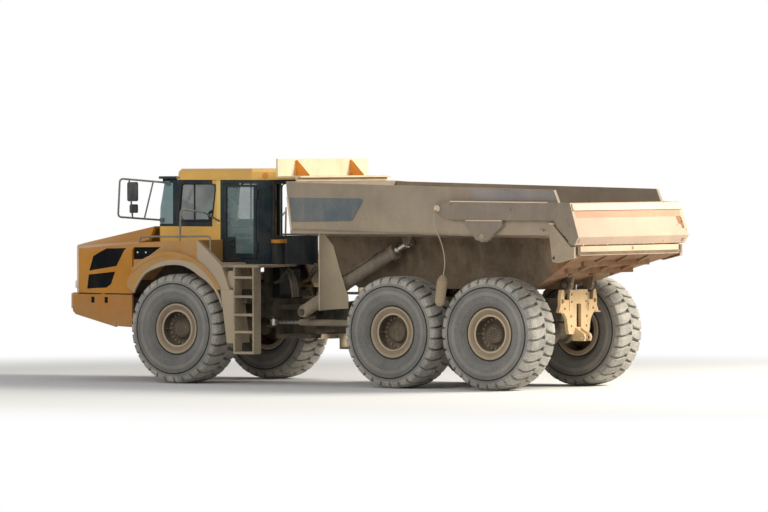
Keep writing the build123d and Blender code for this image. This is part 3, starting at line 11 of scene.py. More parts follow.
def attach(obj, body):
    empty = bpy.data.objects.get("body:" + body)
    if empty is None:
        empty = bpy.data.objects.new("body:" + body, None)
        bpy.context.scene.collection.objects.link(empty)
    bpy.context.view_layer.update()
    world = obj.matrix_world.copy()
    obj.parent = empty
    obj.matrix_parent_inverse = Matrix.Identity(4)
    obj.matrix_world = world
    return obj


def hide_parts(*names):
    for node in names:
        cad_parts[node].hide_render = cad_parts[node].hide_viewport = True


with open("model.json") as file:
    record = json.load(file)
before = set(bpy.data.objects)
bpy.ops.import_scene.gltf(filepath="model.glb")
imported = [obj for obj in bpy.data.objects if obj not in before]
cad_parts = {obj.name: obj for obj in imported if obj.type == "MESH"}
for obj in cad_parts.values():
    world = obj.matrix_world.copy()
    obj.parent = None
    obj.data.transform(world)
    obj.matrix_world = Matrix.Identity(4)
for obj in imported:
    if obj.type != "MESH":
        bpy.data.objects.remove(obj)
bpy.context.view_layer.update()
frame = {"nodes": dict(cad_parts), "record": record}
nodes = frame["nodes"]

# Metres in the row frame. Lengths along X below are measured from the front axle.
FRONT_AXLE = 2.585
AXLE_Z = 0.93
WHEEL_Y = 1.318
SEED = 7


def fx(x):
    return FRONT_AXLE + x


def srgb(r, g, b):
    """A colour given as it shows on a screen, 0 to 255, as linear values."""
    out = []
    for c in (r, g, b):
        c /= 255
        out.append(c / 12.92 if c <= 0.04045 else ((c + 0.055) / 1.055) ** 2.4)
    return (*out, 1.0)


def new_object(name, data):
    """An object of its own in the scene."""
    obj = bpy.data.objects.new(name, data)
    bpy.context.scene.collection.objects.link(obj)
    return obj


# ---- camera ----
cam_data = bpy.data.cameras.new("camera")
cam = new_object("camera", cam_data)
bpy.context.scene.camera = cam
cam_data.sensor_width = 36
cam_data.lens = 305.3
cam_data.clip_start, cam_data.clip_end = 1, 500
azimuth, elevation, roll, distance = 214.699, 0.958, -0.121, 110
target = Vector((-0.604, 0, 2.163))
a, e = math.radians(azimuth), math.radians(elevation)
back = Vector((math.sin(a) * math.cos(e), -math.cos(a) * math.cos(e), math.sin(e)))
cam.location = target + back * distance
turn = (-back).to_track_quat("-Z", "Y").to_matrix() @ Matrix.Rotation(math.radians(roll), 3, "Z")
cam.rotation_mode = "QUATERNION"
cam.rotation_quaternion = turn.to_quaternion()


# ---- materials ----
class Nodes:
    """Short calls for building a material's node tree."""

    def __init__(self, name):
        self.mat = bpy.data.materials.new(name)
        self.mat.use_nodes = True
        self.tree = self.mat.node_tree
        self.shader = self.tree.nodes["Principled BSDF"]
        self.coords = self.tree.nodes.new("ShaderNodeTexCoord")

    def node(self, kind, **values):
        n = self.tree.nodes.new(kind)
        for k, v in values.items():
            setattr(n, k, v)
        return n

    def link(self, a, b):
        self.tree.links.new(a, b)

    def mapping(self, scale=(1, 1, 1)):
        m = self.node("ShaderNodeMapping")
        m.inputs["Scale"].default_value = scale
        self.link(self.coords.outputs["Object"], m.inputs["Vector"])
        return m.outputs["Vector"]

    def noise(self, scale, detail=4, rough=0.55, stretch=(1, 1, 1)):
        n = self.node("ShaderNodeTexNoise")
        n.inputs["Scale"].default_value = scale
        n.inputs["Detail"].default_value = detail
        n.inputs["Roughness"].default_value = rough
        self.link(self.mapping(stretch), n.inputs["Vector"])
        return n.outputs["Fac"]

    def ramp(self, source, low, high):
        """Rises smoothly from 0 to 1 between two values."""
        r = self.node("ShaderNodeMapRange", interpolation_type="SMOOTHSTEP")
        r.inputs["From Min"].default_value = low
        r.inputs["From Max"].default_value = high
        self.link(source, r.inputs["Value"])
        return r.outputs["Result"]

    def math(self, op, a, b):
        m = self.node("ShaderNodeMath", operation=op, use_clamp=True)
        for i, v in enumerate((a, b)):
            if isinstance(v, (int, float)):
                m.inputs[i].default_value = v
            else:
                self.link(v, m.inputs[i])
        return m.outputs[0]

    def mix(self, fac, a, b):
        m = self.node("ShaderNodeMix", data_type="RGBA")
        for key, v in ((0, fac), (6, a), (7, b)):
            if isinstance(v, (int, float, tuple)):
                m.inputs[key].default_value = v
            else:
                self.link(v, m.inputs[key])
        return m.outputs[2]

    def height(self):
        s = self.node("ShaderNodeSeparateXYZ")
        self.link(self.coords.outputs["Object"], s.inputs[0])
        return s.outputs

    def upward(self):
        s = self.node("ShaderNodeSeparateXYZ")
        self.link(self.coords.outputs["Normal"], s.inputs[0])
        return self.ramp(s.outputs["Z"], 0.35, 0.95)

    def bump(self, height, strength, depth):
        b = self.node("ShaderNodeBump")
        b.inputs["Strength"].default_value = strength
        b.inputs["Distance"].default_value = depth
        self.link(height, b.inputs["Height"])
        self.link(b.outputs["Normal"], self.shader.inputs["Normal"])


DUST = srgb(176, 160, 134)
PALE_DUST = srgb(203, 187, 160)


def painted(name, colour, rough, dust, low, top_dust, chips=0.0, chip=None, metallic=0.0, grain=0.25,
            streaks=0.25, shift=0.10, gloss=0.5):
    """Paint or bare plate with colour drift, dust that gathers low and on top, run marks and chips."""
    m = Nodes(name)
    colour = srgb(*colour)
    base = m.mix(m.ramp(m.noise(0.9, 5), 0.3, 0.7), tuple(c * (1 - shift) for c in colour[:3]) + (1,),
                 tuple(min(1, c * (1 + shift)) for c in colour[:3]) + (1,))
    run = m.ramp(m.noise(3.0, 6, 0.6, (1.6, 1.6, 0.22)), 0.46, 0.78)
    base = m.mix(m.math("MULTIPLY", run, streaks), base, DUST)
    z = m.height()["Z"]
    near_ground = m.ramp(z, low[1], low[0])
    patch = m.ramp(m.noise(2.2, 8, 0.62), 0.34, 0.66)
    speck = m.ramp(m.noise(34, 3, 0.6), 0.42, 0.62)
    cover = m.math("MULTIPLY", patch, dust)
    cover = m.math("ADD", cover, m.math("MULTIPLY", near_ground, dust * 1.3))
    cover = m.math("ADD", cover, m.math("MULTIPLY", m.upward(), top_dust * dust * 2))
    cover = m.math("MULTIPLY", cover, m.math("ADD", m.math("MULTIPLY", speck, 0.35), 0.72))
    base = m.mix(cover, base, DUST)
    if chips:
        spots = m.ramp(m.noise(5.5, 9, 0.68), 0.70 - 0.12 * chips, 0.73 - 0.12 * chips)
        base = m.mix(spots, base, srgb(*chip))
    m.link(base, m.shader.inputs["Base Color"])
    m.link(m.math("ADD", m.math("MULTIPLY", cover, 0.9 - rough), rough), m.shader.inputs["Roughness"])
    m.shader.inputs["Metallic"].default_value = metallic
    m.shader.inputs["Specular IOR Level"].default_value = gloss
    fine = m.math("ADD", m.math("MULTIPLY", m.noise(60, 4), 0.6), m.math("MULTIPLY", m.noise(9, 4), 0.4))
    m.bump(fine, grain, 0.004)
    return m.mat


def rubber(name, colour, dust, dust_colour):
    """Dusty rubber: the dust sits in blotches and on the tread's crowns."""
    m = Nodes(name)
    base = m.mix(m.ramp(m.noise(1.7, 6), 0.3, 0.7), colour, tuple(c * 1.25 for c in colour[:3]) + (1,))
    blot = m.ramp(m.noise(3.1, 9, 0.64), 0.30, 0.72)
    speck = m.ramp(m.noise(55, 4, 0.6), 0.40, 0.60)
    mottle = m.math("ADD", m.math("MULTIPLY", blot, 0.55), m.math("MULTIPLY", speck, 0.45))
    cover = m.math("MULTIPLY", mottle, dust)
    m.link(m.mix(cover, base, dust_colour), m.shader.inputs["Base Color"])
    m.shader.inputs["Roughness"].default_value = 0.92
    fine = m.math("ADD", m.math("MULTIPLY", m.noise(80, 5), 0.5), m.math("MULTIPLY", m.noise(16, 6), 0.5))
    m.bump(fine, 0.4, 0.006)
    return m.mat


def glass(name, colour, alpha):
    m = Nodes(name)
    film = m.ramp(m.noise(2.5, 7, 0.6), 0.35, 0.75)
    m.link(m.mix(m.math("MULTIPLY", film, 0.2), colour, PALE_DUST), m.shader.inputs["Base Color"])
    m.shader.inputs["Roughness"].default_value = 0.08
    m.link(m.math("ADD", m.math("MULTIPLY", film, 0.12), alpha), m.shader.inputs["Alpha"])
    m.bump(m.noise(1.2, 2), 0.03, 0.002)
    return m.mat


def lens(name, colour):
    """A moulded lamp lens with fine flutes."""
    m = Nodes(name)
    w = m.node("ShaderNodeTexWave", wave_type="BANDS", bands_direction="Z")
    w.inputs["Scale"].default_value = 26
    m.link(m.mapping(), w.inputs["Vector"])
    film = m.ramp(m.noise(6, 6), 0.4, 0.7)
    m.link(m.mix(m.math("MULTIPLY", film, 0.4), colour, DUST), m.shader.inputs["Base Color"])
    m.shader.inputs["Roughness"].default_value = 0.15
    m.bump(w.outputs["Fac"], 0.3, 0.003)
    return m.mat


# Columns: key, name, colour, roughness, dust, heights of full and no dust, dust on top, other values
PAINTS = [
    ("yellow", "yellow_paint", (192, 126, 22), 0.36, 0.07, (0.7, 1.9), 0.8, dict(streaks=0.08, gloss=0.3)),
    ("yellow_low", "yellow_dusty", (182, 118, 34), 0.5, 0.2, (0.7, 1.7), 0.9, dict(streaks=0.12, gloss=0.3)),
    # Roof: a lighter copy of the yellow paint, which is painted light on the roof, the cab shell and the
    # cab's yellow faces.
    ("roof", "roof", (232, 182, 92), 0.45, 0.16, (0.9, 2.7), 0.7, dict(streaks=0.12, gloss=0.3)),
    ("frame_grey", "frame_dust", (52, 50, 44), 0.8, 0.22, (0.3, 1.4), 0.6, dict(gloss=0.2)),
    ("bed", "bed", (140, 126, 110), 0.72, 0.36, (2.3, 3.25), 0.4,
     dict(chips=0.35, chip=(106, 82, 62), shift=0.14)),
    ("bed_band", "bed_band", (126, 120, 120), 0.5, 0.3, (1.5, 3.2), 0.4,
     dict(chips=0.6, chip=(84, 74, 70), shift=0.25)),
    ("bed_inside", "bed_inside", (132, 118, 100), 0.55, 0.5, (1.5, 3.4), 0.3,
     dict(chips=0.5, chip=(96, 74, 56))),
    # Belly: a darker brown that is partly dirt and partly painted shade under the bed's overhanging rail.
    ("belly", "belly", (104, 87, 70), 0.85, 0.26, (0.8, 2.3), 0.3,
     dict(chips=0.4, chip=(76, 56, 42), gloss=0.3)),
    ("rib", "rib", (122, 84, 50), 0.8, 0.22, (0.8, 2.2), 0.3, dict(chips=0.6, chip=(96, 56, 30))),
    ("gate_arm", "gate_arm", (124, 112, 100), 0.7, 0.26, (1.6, 3.0), 0.6, dict(chips=0.3, chip=(96, 76, 60))),
    ("gate_face", "gate_face", (196, 168, 144), 0.65, 0.25, (1.6, 2.8), 0.4,
     dict(chips=0.5, chip=(150, 100, 68))),
    ("plate", "blank_plate", (72, 86, 94), 0.5, 0.24, (2.0, 3.0), 0.3, dict(chips=0.4, chip=(104, 112, 116))),
    ("guard", "guard", (236, 216, 182), 0.6, 0.25, (3.2, 3.7), 0.4, dict(chips=0.25, chip=(176, 130, 90))),
    ("gusset", "gusset", (214, 132, 12), 0.5, 0.08, (3.3, 3.75), 0.3,
     dict(chips=0.3, chip=(150, 84, 40), streaks=0.08)),
    ("dark", "dark_frame", (20, 38, 46), 0.5, 0.07, (0.4, 2.0), 0.6, dict(streaks=0.08, gloss=0.2)),
    ("black", "black", (16, 24, 30), 0.6, 0.06, (0.3, 1.8), 0.5, dict(streaks=0.1, gloss=0.2)),
    ("mesh", "vent_mesh", (10, 12, 18), 0.7, 0.02, (0.6, 1.6), 0.3, dict(streaks=0.02, gloss=0.08)),
    ("step", "step", (120, 108, 90), 0.75, 0.6, (0.5, 2.4), 0.9, {}),
    ("flap", "mud_flap", (190, 174, 148), 0.9, 0.5, (0.8, 2.7), 0.3, dict(streaks=0.5)),
    ("fender_rear", "fender_dust", (182, 164, 140), 0.7, 0.5, (0.7, 2.2), 0.6, {}),
    ("barrel", "barrel", (100, 92, 82), 0.6, 0.4, (0.8, 2.4), 0.5, {}),
    ("engine", "engine", (48, 48, 46), 0.7, 0.25, (0.8, 2.0), 0.6, {}),
    ("rail", "rail", (96, 98, 96), 0.45, 0.3, (1.8, 3.0), 0.4, {}),
    ("rim", "rim", (158, 140, 116), 0.7, 0.4, (0.2, 1.4), 0.3, dict(chips=0.3, chip=(126, 98, 74))),
    # Painted shade deep inside the rims' dish.
    ("rim_deep", "rim_deep", (70, 58, 46), 0.85, 0.22, (0.2, 1.2), 0.3, {}),
    ("bolt", "bolt", (128, 116, 98), 0.5, 0.35, (0.4, 2.4), 0.4, dict(metallic=0.4)),
    ("mirror", "mirror_back", (40, 50, 58), 0.4, 0.1, (2.0, 3.2), 0.4, {}),
    ("silver", "mirror_face", (190, 196, 200), 0.08, 0.05, (2.0, 3.6), 0.1, dict(metallic=1.0, grain=0.02)),
    ("hose", "hose", (36, 36, 36), 0.6, 0.35, (0.5, 2.3), 0.7, {}),
    ("seam", "seam", (60, 44, 26), 0.9, 0.1, (0.6, 2.3), 0.1, {}),
    ("chrome", "chrome", (196, 192, 184), 0.18, 0.1, (0.6, 2.3), 0.3, dict(metallic=0.9, grain=0.04)),
    ("wire", "wire", (168, 158, 142), 0.7, 0.5, (1.2, 3.0), 0.4, {}),
    ("bundle", "bundle", (158, 138, 112), 0.95, 0.4, (1.2, 2.0), 0.3, {}),
    ("lug", "frame_end", (232, 196, 142), 0.7, 0.35, (0.3, 1.6), 0.3, dict(chips=0.5, chip=(170, 112, 62))),
    ("gate_rim", "gate_rim", (222, 196, 172), 0.6, 0.2, (1.6, 2.8), 0.4,
     dict(chips=0.4, chip=(170, 120, 82))),
    # Painted shadow: the darker peach of the sunk band below the tailgate's top beam.
    ("gate_band", "gate_band", (188, 140, 108), 0.65, 0.2, (1.6, 2.6), 0.4,
     dict(chips=0.5, chip=(150, 96, 60))),
    ("rust", "rust", (150, 98, 62), 0.9, 0.25, (1.6, 3.0), 0.3,
     dict(chips=0.8, chip=(104, 60, 36), grain=0.6, shift=0.25)),
    # Painted highlight on the rims' lip and flange, painted shade on the slope between them.
    ("rim_lip", "rim_lip", (190, 172, 146), 0.65, 0.3, (0.2, 1.2), 0.3, dict(chips=0.3, chip=(150, 120, 92))),
    ("rim_slope", "rim_slope", (132, 114, 92), 0.75, 0.3, (0.2, 1.2), 0.3,
     dict(chips=0.3, chip=(110, 84, 62))),
    ("fender", "fender", (190, 136, 64), 0.55, 0.36, (0.7, 1.7), 0.9, dict(streaks=0.2, gloss=0.3)),
    ("quarter", "quarter_glass", (128, 156, 160), 0.1, 0.12, (2.2, 3.2), 0.2, dict(grain=0.03)),
    # Painted highlight: a still lighter copy of the cab's yellow for the lit strip of the rear pillar.
    ("pillar_lit", "pillar_edge", (240, 204, 118), 0.4, 0.12, (0.9, 2.6), 0.4, {}),
    ("tail_lip", "tail_lip", (214, 186, 156), 0.65, 0.3, (1.6, 2.8), 0.4,
     dict(chips=0.5, chip=(156, 104, 70))),
    ("plastic", "plastic", (44, 46, 48), 0.6, 0.12, (1.8, 2.3), 0.3, dict(grain=0.5)),
]
M = {key: painted(name + "_mat", *looks, **more) for key, name, *looks, more in PAINTS}
M.update({
    "tyre": rubber("tyre_mat", srgb(98, 98, 96), 0.6, srgb(152, 147, 136)),
    "tread": rubber("tread_mat", srgb(116, 114, 108), 0.9, srgb(200, 193, 180)),
    "glass": glass("cab_glass_mat", srgb(50, 122, 114), 0.60),
    "door_glass": glass("door_glass_mat", srgb(112, 138, 138), 0.55),
    "lamp": lens("lamp_mat", srgb(226, 226, 218)),
    "amber": lens("amber_mat", srgb(240, 140, 24)),
    # Painted shade in the tyres' groove and at the bead, and painted highlight on their raised bands.
    "tyre_groove_shade": rubber("tyre_groove_mat", srgb(44, 46, 46), 0.25, srgb(110, 104, 94)),
    "tyre_band_highlight": rubber("tyre_band_mat", srgb(116, 114, 109), 0.65, srgb(164, 158, 146)),
})


def seat_material():
    m = Nodes("seat_fabric_mat")
    weave = []
    for direction in ("X", "Z"):
        w = m.node("ShaderNodeTexWave", wave_type="BANDS", bands_direction=direction)
        w.inputs["Scale"].default_value = 60
        m.link(m.mapping(), w.inputs["Vector"])
        weave.append(w.outputs["Fac"])
    cross = m.math("MULTIPLY", weave[0], weave[1])
    m.link(m.mix(cross, srgb(30, 31, 33), srgb(58, 58, 60)), m.shader.inputs["Base Color"])
    m.shader.inputs["Roughness"].default_value = 0.9
    m.shader.inputs["Sheen Weight"].default_value = 0.3
    m.bump(cross, 0.4, 0.002)
    return m.mat


M["seat"] = seat_material()


# ---- mesh helpers ----
CLOSED_R = 0.03  # a lathe's end ring smaller than this is closed with a face


def to_object(name, bm, body, mat, smooth=35, mats=()):
    """Turns a bmesh into a piece that rides on a body, smooth but for edges sharper than the angle."""
    limit = math.radians(smooth)
    bmesh.ops.recalc_face_normals(bm, faces=bm.faces)
    for f in bm.faces:
        f.smooth = True
    for edge in bm.edges:
        edge.smooth = len(edge.link_faces) == 2 and edge.calc_face_angle(0) < limit
    data = bpy.data.meshes.new(name)
    bm.to_mesh(data)
    bm.free()
    obj = new_object(name, data)
    for item in (mat, *mats):
        data.materials.append(M[item])
    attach(obj, body)
    return obj


BODY_OF = {n: body for body, names in frame["record"]["behaviour"]["bodies"].items() for n in names}


def dress(node, mat, bevel=0.006, smooth=30, mats=(), pick=None, segments=2, cuts=(), merge=True):
    """A welded copy of a CAD node with rounded edges, which stands for that node. Cuts part its faces.

    Without merge the CAD's triangles stay, since merging closes the openings of a plate.
    """
    bm = bmesh.new()
    bm.from_mesh(nodes[node].data)
    bmesh.ops.remove_doubles(bm, verts=bm.verts, dist=2e-5)
    if merge:
        bmesh.ops.dissolve_limit(bm, angle_limit=math.radians(0.4), verts=bm.verts, edges=bm.edges)
    for axis, value in cuts:
        normal = Vector((axis == "x", axis == "y", axis == "z"))
        bmesh.ops.bisect_plane(bm, geom=[*bm.verts, *bm.edges, *bm.faces], dist=1e-5, plane_co=normal * value,
                               plane_no=normal)
    if pick:
        for f in bm.faces:
            f.material_index = pick(f.calc_center_median(), f.normal)
    obj = to_object(node + "_skin", bm, BODY_OF[node], mat, smooth, mats)
    if bevel:
        mod = soften(obj, bevel, segments)
        mod.angle_limit = math.radians(32)
        mod.use_clamp_overlap = True
        mod.harden_normals = True
    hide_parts(node)
    return obj


def round_angles(count, start=0):
    """Equal angles round a circle, from a start given in steps."""
    return [2 * math.pi * (k + start) / count for k in range(count)]


def join_rings(bm, rings):
    """Faces between closed rings that follow one another."""
    for lower, upper in zip(rings, rings[1:]):
        for k in range(len(lower)):
            n = (k + 1) % len(lower)
            bm.faces.new((lower[k], lower[n], upper[n], upper[k]))


def soften(obj, width, segments=2):
    """Rounds a piece's sharp edges."""
    mod = obj.modifiers.new("edges", "BEVEL")
    mod.width, mod.segments, mod.limit_method = width, segments, "ANGLE"
    return mod


class Group:
    """Many small solids gathered into one piece."""

    def __init__(self, name, body, mat, slot=None, smooth=35):
        self.name, self.body, self.mat, self.slot, self.smooth = name, body, mat, slot, smooth
        self.bm = bmesh.new()

    def box(self, x0, x1, y0, y1, z0, z1, edge=0.004):
        made = bmesh.ops.create_cube(self.bm, size=1)["verts"]
        size = Matrix.Diagonal((abs(x1 - x0), abs(y1 - y0), abs(z1 - z0), 1))
        place = Matrix.Translation(((x0 + x1) / 2, (y0 + y1) / 2, (z0 + z1) / 2))
        bmesh.ops.transform(self.bm, matrix=place @ size, verts=made)
        if edge:
            self.round_off({e for v in made for e in v.link_edges}, edge)
        return self

    def round_off(self, edges, radius):
        bmesh.ops.bevel(self.bm, geom=list(edges), offset=radius, segments=2, profile=0.6, affect="EDGES")

    def rod(self, p0, p1, r, seg=16, r2=None):
        p0, p1 = Vector(p0), Vector(p1)
        run = p1 - p0
        made = bmesh.ops.create_cone(self.bm, cap_ends=True, cap_tris=False, segments=seg, radius1=r,
                                     radius2=r if r2 is None else r2, depth=run.length)["verts"]
        place = Matrix.Translation((p0 + p1) / 2) @ run.to_track_quat("Z", "Y").to_matrix().to_4x4()
        bmesh.ops.transform(self.bm, matrix=place, verts=made)
        return self

    def lathe(self, profile, origin, axis, seg=48):
        """Revolves (distance along the axis, radius) pairs."""
        place = Matrix.Translation(origin) @ Vector(axis).to_track_quat("Z", "Y").to_matrix().to_4x4()
        rings = []
        for d, r in profile:
            rings.append([self.bm.verts.new(place @ Vector((r * math.cos(t), r * math.sin(t), d)))
                          for t in round_angles(seg)])
        join_rings(self.bm, rings)
        for ring, (_, r) in ((rings[0], profile[0]), (rings[-1], profile[-1])):
            if r < CLOSED_R:
                self.bm.faces.new(ring)
        return self

    def plate(self, points, y0, y1, edge=0.003):
        """A flat outline of (x from the front axle, z) made solid between two distances to the left."""
        near = [self.bm.verts.new((fx(x), y0, z)) for x, z in points]
        far = [self.bm.verts.new((fx(x), y1, z)) for x, z in points]
        faces = [self.bm.faces.new(near), self.bm.faces.new(list(reversed(far)))]
        n = len(points)
        for k in range(n):
            m = (k + 1) % n
            faces.append(self.bm.faces.new((near[m], near[k], far[k], far[m])))
        if edge:
            self.round_off({e for f in faces[:2] for e in f.edges}, edge)
        return self

    def pipe(self, points, r, seg=10):
        """A round bar along points with rounded corners."""
        path, steps = [], 6
        pts = [Vector(p) for p in points]
        for i, p in enumerate(pts):
            if i in (0, len(pts) - 1):
                path.append(p)
                continue
            before, after = pts[i - 1] - p, pts[i + 1] - p
            cut = min(0.06 + 3 * r, before.length * 0.45, after.length * 0.45)
            start, end = p + before.normalized() * cut, p + after.normalized() * cut
            for k in range(steps + 1):
                t = k / steps
                path.append(start * (1 - t) ** 2 + p * 2 * t * (1 - t) + end * t ** 2)
        rings = []
        side = None
        for i, p in enumerate(path):
            run = (path[min(i + 1, len(path) - 1)] - path[max(i - 1, 0)]).normalized()
            if side is None:
                side = run.orthogonal().normalized()
            side = (side - run * side.dot(run)).normalized()
            up = run.cross(side)
            rings.append([self.bm.verts.new(p + (side * math.cos(t) + up * math.sin(t)) * r)
                          for t in round_angles(seg)])
        join_rings(self.bm, rings)
        for ring in (rings[0], rings[-1]):
            self.bm.faces.new(ring)
        return self

    def bolts(self, spots, axis, r=0.016, h=0.012):
        for p in spots:
            p = Vector(p)
            self.rod(p, p + Vector(axis).normalized() * h, r, 6)
        return self

    def done(self, *replaced, mats=(), pick=None):
        if pick:
            for f in self.bm.faces:
                f.material_index = pick(f.calc_center_median())
        obj = to_object(self.name, self.bm, self.body, self.mat, self.smooth, mats)
        if replaced:
            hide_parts(*replaced)
        return obj


# ---- tyres and rims ----
WHEELS = [
    ("front_left", 0.0, 1), ("front_right", 0.0, -1), ("middle_left", -4.451, 1),
    ("middle_right", -4.451, -1), ("rear_left", -6.391, 1), ("rear_right", -6.391, -1),
]
RIM_R = 0.395
TIP = 0.9299
TREAD = 0.884
LUGS = 30
# Columns: distance out from the tyre's middle, radius
CARCASS = [(0.263, RIM_R + 0.002), (0.266, 0.452), (0.300, 0.470), (0.338, 0.512), (0.343, 0.520),
           (0.349, 0.520), (0.366, 0.580), (0.3725, 0.632), (0.3745, 0.640), (0.3745, 0.690), (0.3720, 0.698),
           (0.369, 0.752), (0.356, 0.757), (0.356, 0.771), (0.365, 0.776), (0.360, 0.800), (0.350, 0.838),
           (0.334, 0.860), (0.300, 0.876), (0.200, 0.883), (0.080, 0.886)]
# Columns: distance out from the wheel's middle, radius
RIM_FACE = [(0.245, 0.395), (0.258, 0.420), (0.268, 0.4245), (0.279, 0.418), (0.2799, 0.404), (0.272, 0.392),
            (0.262, 0.384), (0.240, 0.345), (0.236, 0.322), (0.248, 0.316), (0.252, 0.300), (0.246, 0.288),
            (0.226, 0.284), (0.200, 0.290), (0.100, 0.300), (0.072, 0.292), (0.066, 0.275), (0.066, 0.190),
            (0.078, 0.178), (0.100, 0.166), (0.122, 0.150), (0.124, 0.020), (0.124, 0.001)]
RIM_BACK = [(-0.279, 0.346), (-0.2799, 0.404), (-0.270, 0.4245), (-0.262, 0.4245), (-0.262, 0.346)]
RIM_BASE = [(-0.262, 0.346), (-0.262, 0.3949), (0.250, 0.3949), (0.250, 0.345), (0.10, 0.335), (0.021, 0.315),
            (0.021, 0.001), (0.0209, 0.001)]
# Columns: count, start in steps, ring's radius, distance out, height, radius
NUTS = [(20, 0, 0.245, 0.065, 0.028, 0.018), (12, 0.5, 0.095, 0.118, 0.016, 0.010)]


def tread_lug(bm, centre, side, index, hand):
    """One thick curved lug from the shoulder to the middle of the tread."""
    pitch, taper = 2 * math.pi / LUGS, 0.86
    middle = (index + (0.5 if hand * side < 0 else 0)) * pitch
    # Columns: distance out from the middle, radius of the tip, shift round the tyre and half width in pitches
    stations = [(-0.012, TIP - 0.001, 0.30, 0.30), (0.05, TIP, 0.26, 0.345), (0.13, TIP, 0.14, 0.385),
                (0.22, TIP - 0.001, 0.03, 0.40), (0.290, TIP - 0.010, 0.0, 0.40),
                (0.335, TIP - 0.036, 0.0, 0.385), (0.356, TIP - 0.088, 0.0, 0.365)]
    rings = []
    for out, tip, shift, half in stations:
        ground = TREAD - 0.012 if out < 0.30 else (0.845 if out < 0.34 else 0.812)
        flank = [(ground, half + 0.03), (tip - 0.008, half), (tip, half * taper)]
        ring = []
        for r, w in [(r, -w) for r, w in flank] + flank[::-1]:
            t = middle + (w - shift) * pitch
            ring.append(bm.verts.new(centre + Vector((r * math.cos(t), out * hand * side, r * math.sin(t)))))
        rings.append(ring)
    join_rings(bm, rings)
    bm.faces.new(rings[0])
    bm.faces.new(list(reversed(rings[-1])))


def make_wheel(name, x, side):
    centre = Vector((fx(x), side * WHEEL_Y, AXLE_Z))
    body = name + "_wheel"
    tyre = Group(name + "_tyre_carcass", body, "tyre", "tyre_rubber", 50)
    full = CARCASS + [(-d, r) for d, r in reversed(CARCASS)]
    tyre.lathe(full + [full[0]], centre, (0, 1, 0), 96)

    def tone(c):
        """Dark in the groove and at the bead, which is painted shade, and lighter on the two raised bands,
        which is painted highlight.
        """
        r = math.hypot(c.x - centre.x, c.z - centre.z)
        return 1 if 0.753 < r < 0.775 or r < 0.447 else (2 if 0.635 < r < 0.692 or 0.775 < r < 0.83 else 0)

    tyre.done(name + "_tyre", mats=("tyre_groove_shade", "tyre_band_highlight"), pick=tone)
    bm = bmesh.new()
    for i in range(LUGS):
        for hand in (1, -1):
            tread_lug(bm, centre, side, i, hand)
    to_object(name + "_tread", bm, body, "tread", 28)
    # Rim: stepped flange ring, deep dish and a hub with planet cover.
    rim = Group(name + "_rim_ring", body, "rim", "rim_paint", 32)
    for profile in (RIM_FACE, RIM_BACK, RIM_BASE):
        rim.lathe(profile, centre, (0, side, 0), 72)

    def shade(c):
        """Deep inside of the dish, lip and flange, slope between them: painted shade deep in the dish and on
        the slope, painted highlight on the lip and flange.
        """
        out = (c.y - centre.y) * side
        r = math.hypot(c.x - centre.x, c.z - centre.z)
        if r < 0.302 and -0.05 < out < 0.243:
            return 1
        if r < 0.321 or r > 0.410:
            return 2
        return 3 if r < 0.380 else 0

    rim.done(name + "_rim", mats=("rim_deep", "rim_lip", "rim_slope"), pick=shade)
    nuts = Group(name + "_rim_nuts", body, "bolt", "rim_paint")
    for count, start, spread, out, height, radius in NUTS:
        for t in round_angles(count, start):
            p = centre + Vector((spread * math.cos(t), side * out, spread * math.sin(t)))
            nuts.rod(p, p + Vector((0, side * height, 0)), radius, 6)
    valve = centre + Vector((0.27, side * 0.09, 0))
    nuts.rod(valve, valve + Vector((0.01, side * 0.11, 0)), 0.007, 8)
    nuts.done()


for wheel in WHEELS:
    make_wheel(*wheel)

# ---- frames, axles and engine ----
# Columns: node, material, edge radius
for node, mat, edge in (("rear_frame", "frame_grey", 0.006), ("frame_tail", "lug", 0.005),
                        ("bogie_beams", "frame_grey", 0.012), ("rear_axles", "frame_grey", 0.006),
                        ("front_frame", "frame_grey", 0.006), ("front_axle", "frame_grey", 0.006),
                        ("engine", "engine", 0.02)):
    dress(node, mat, edge)

# ---- bed ----
BELLY_TOP = 2.50


def bed_face(c, n):
    """Inside of the trough, outer sides, belly, and the tail's ribbed underside. The belly's darker colour is
    partly dirt and partly painted shade under the rail's overhang.
    """
    if abs(c.y) < 1.54 and n.z > 0.05 and c.z < 3.2:
        return 2
    if abs(c.y) > 1.585:
        return 0
    if c.z < BELLY_TOP:
        return 3 if c.x < fx(-7.25) and n.z < 0.3 and (n.x > -0.8 or c.z < 2.19) else 1
    return 0 if abs(n.y) > 0.5 else 2


dress("bed", "bed", 0.010, 30, ("belly", "bed_inside", "rib"), bed_face)
dress("mud_flaps", "flap", 0.006)
dress("spill_guard", "guard", 0.006, 30, ("gusset",),
      lambda c, n: 1 if abs(n.y) > 0.7 and abs(abs(c.y) - 0.8) < 0.05 else 0)
dress("tailgate", "gate_arm", 0.008, 30, ("gate_face",),
      lambda c, n: 1 if abs(c.y) < 1.6 or (n.x < -0.5 and c.x < fx(-7.6)) else 0)

# ---- cylinders ----
dress("hoist_barrels", "barrel", 0.006)
dress("hoist_sleeves", "chrome", 0.003)
dress("hoist_rods", "chrome", 0.003)
for hand in ("left", "right"):
    dress("steering_barrel_" + hand, "barrel", 0.003)
    dress("steering_rod_" + hand, "chrome", 0.002)

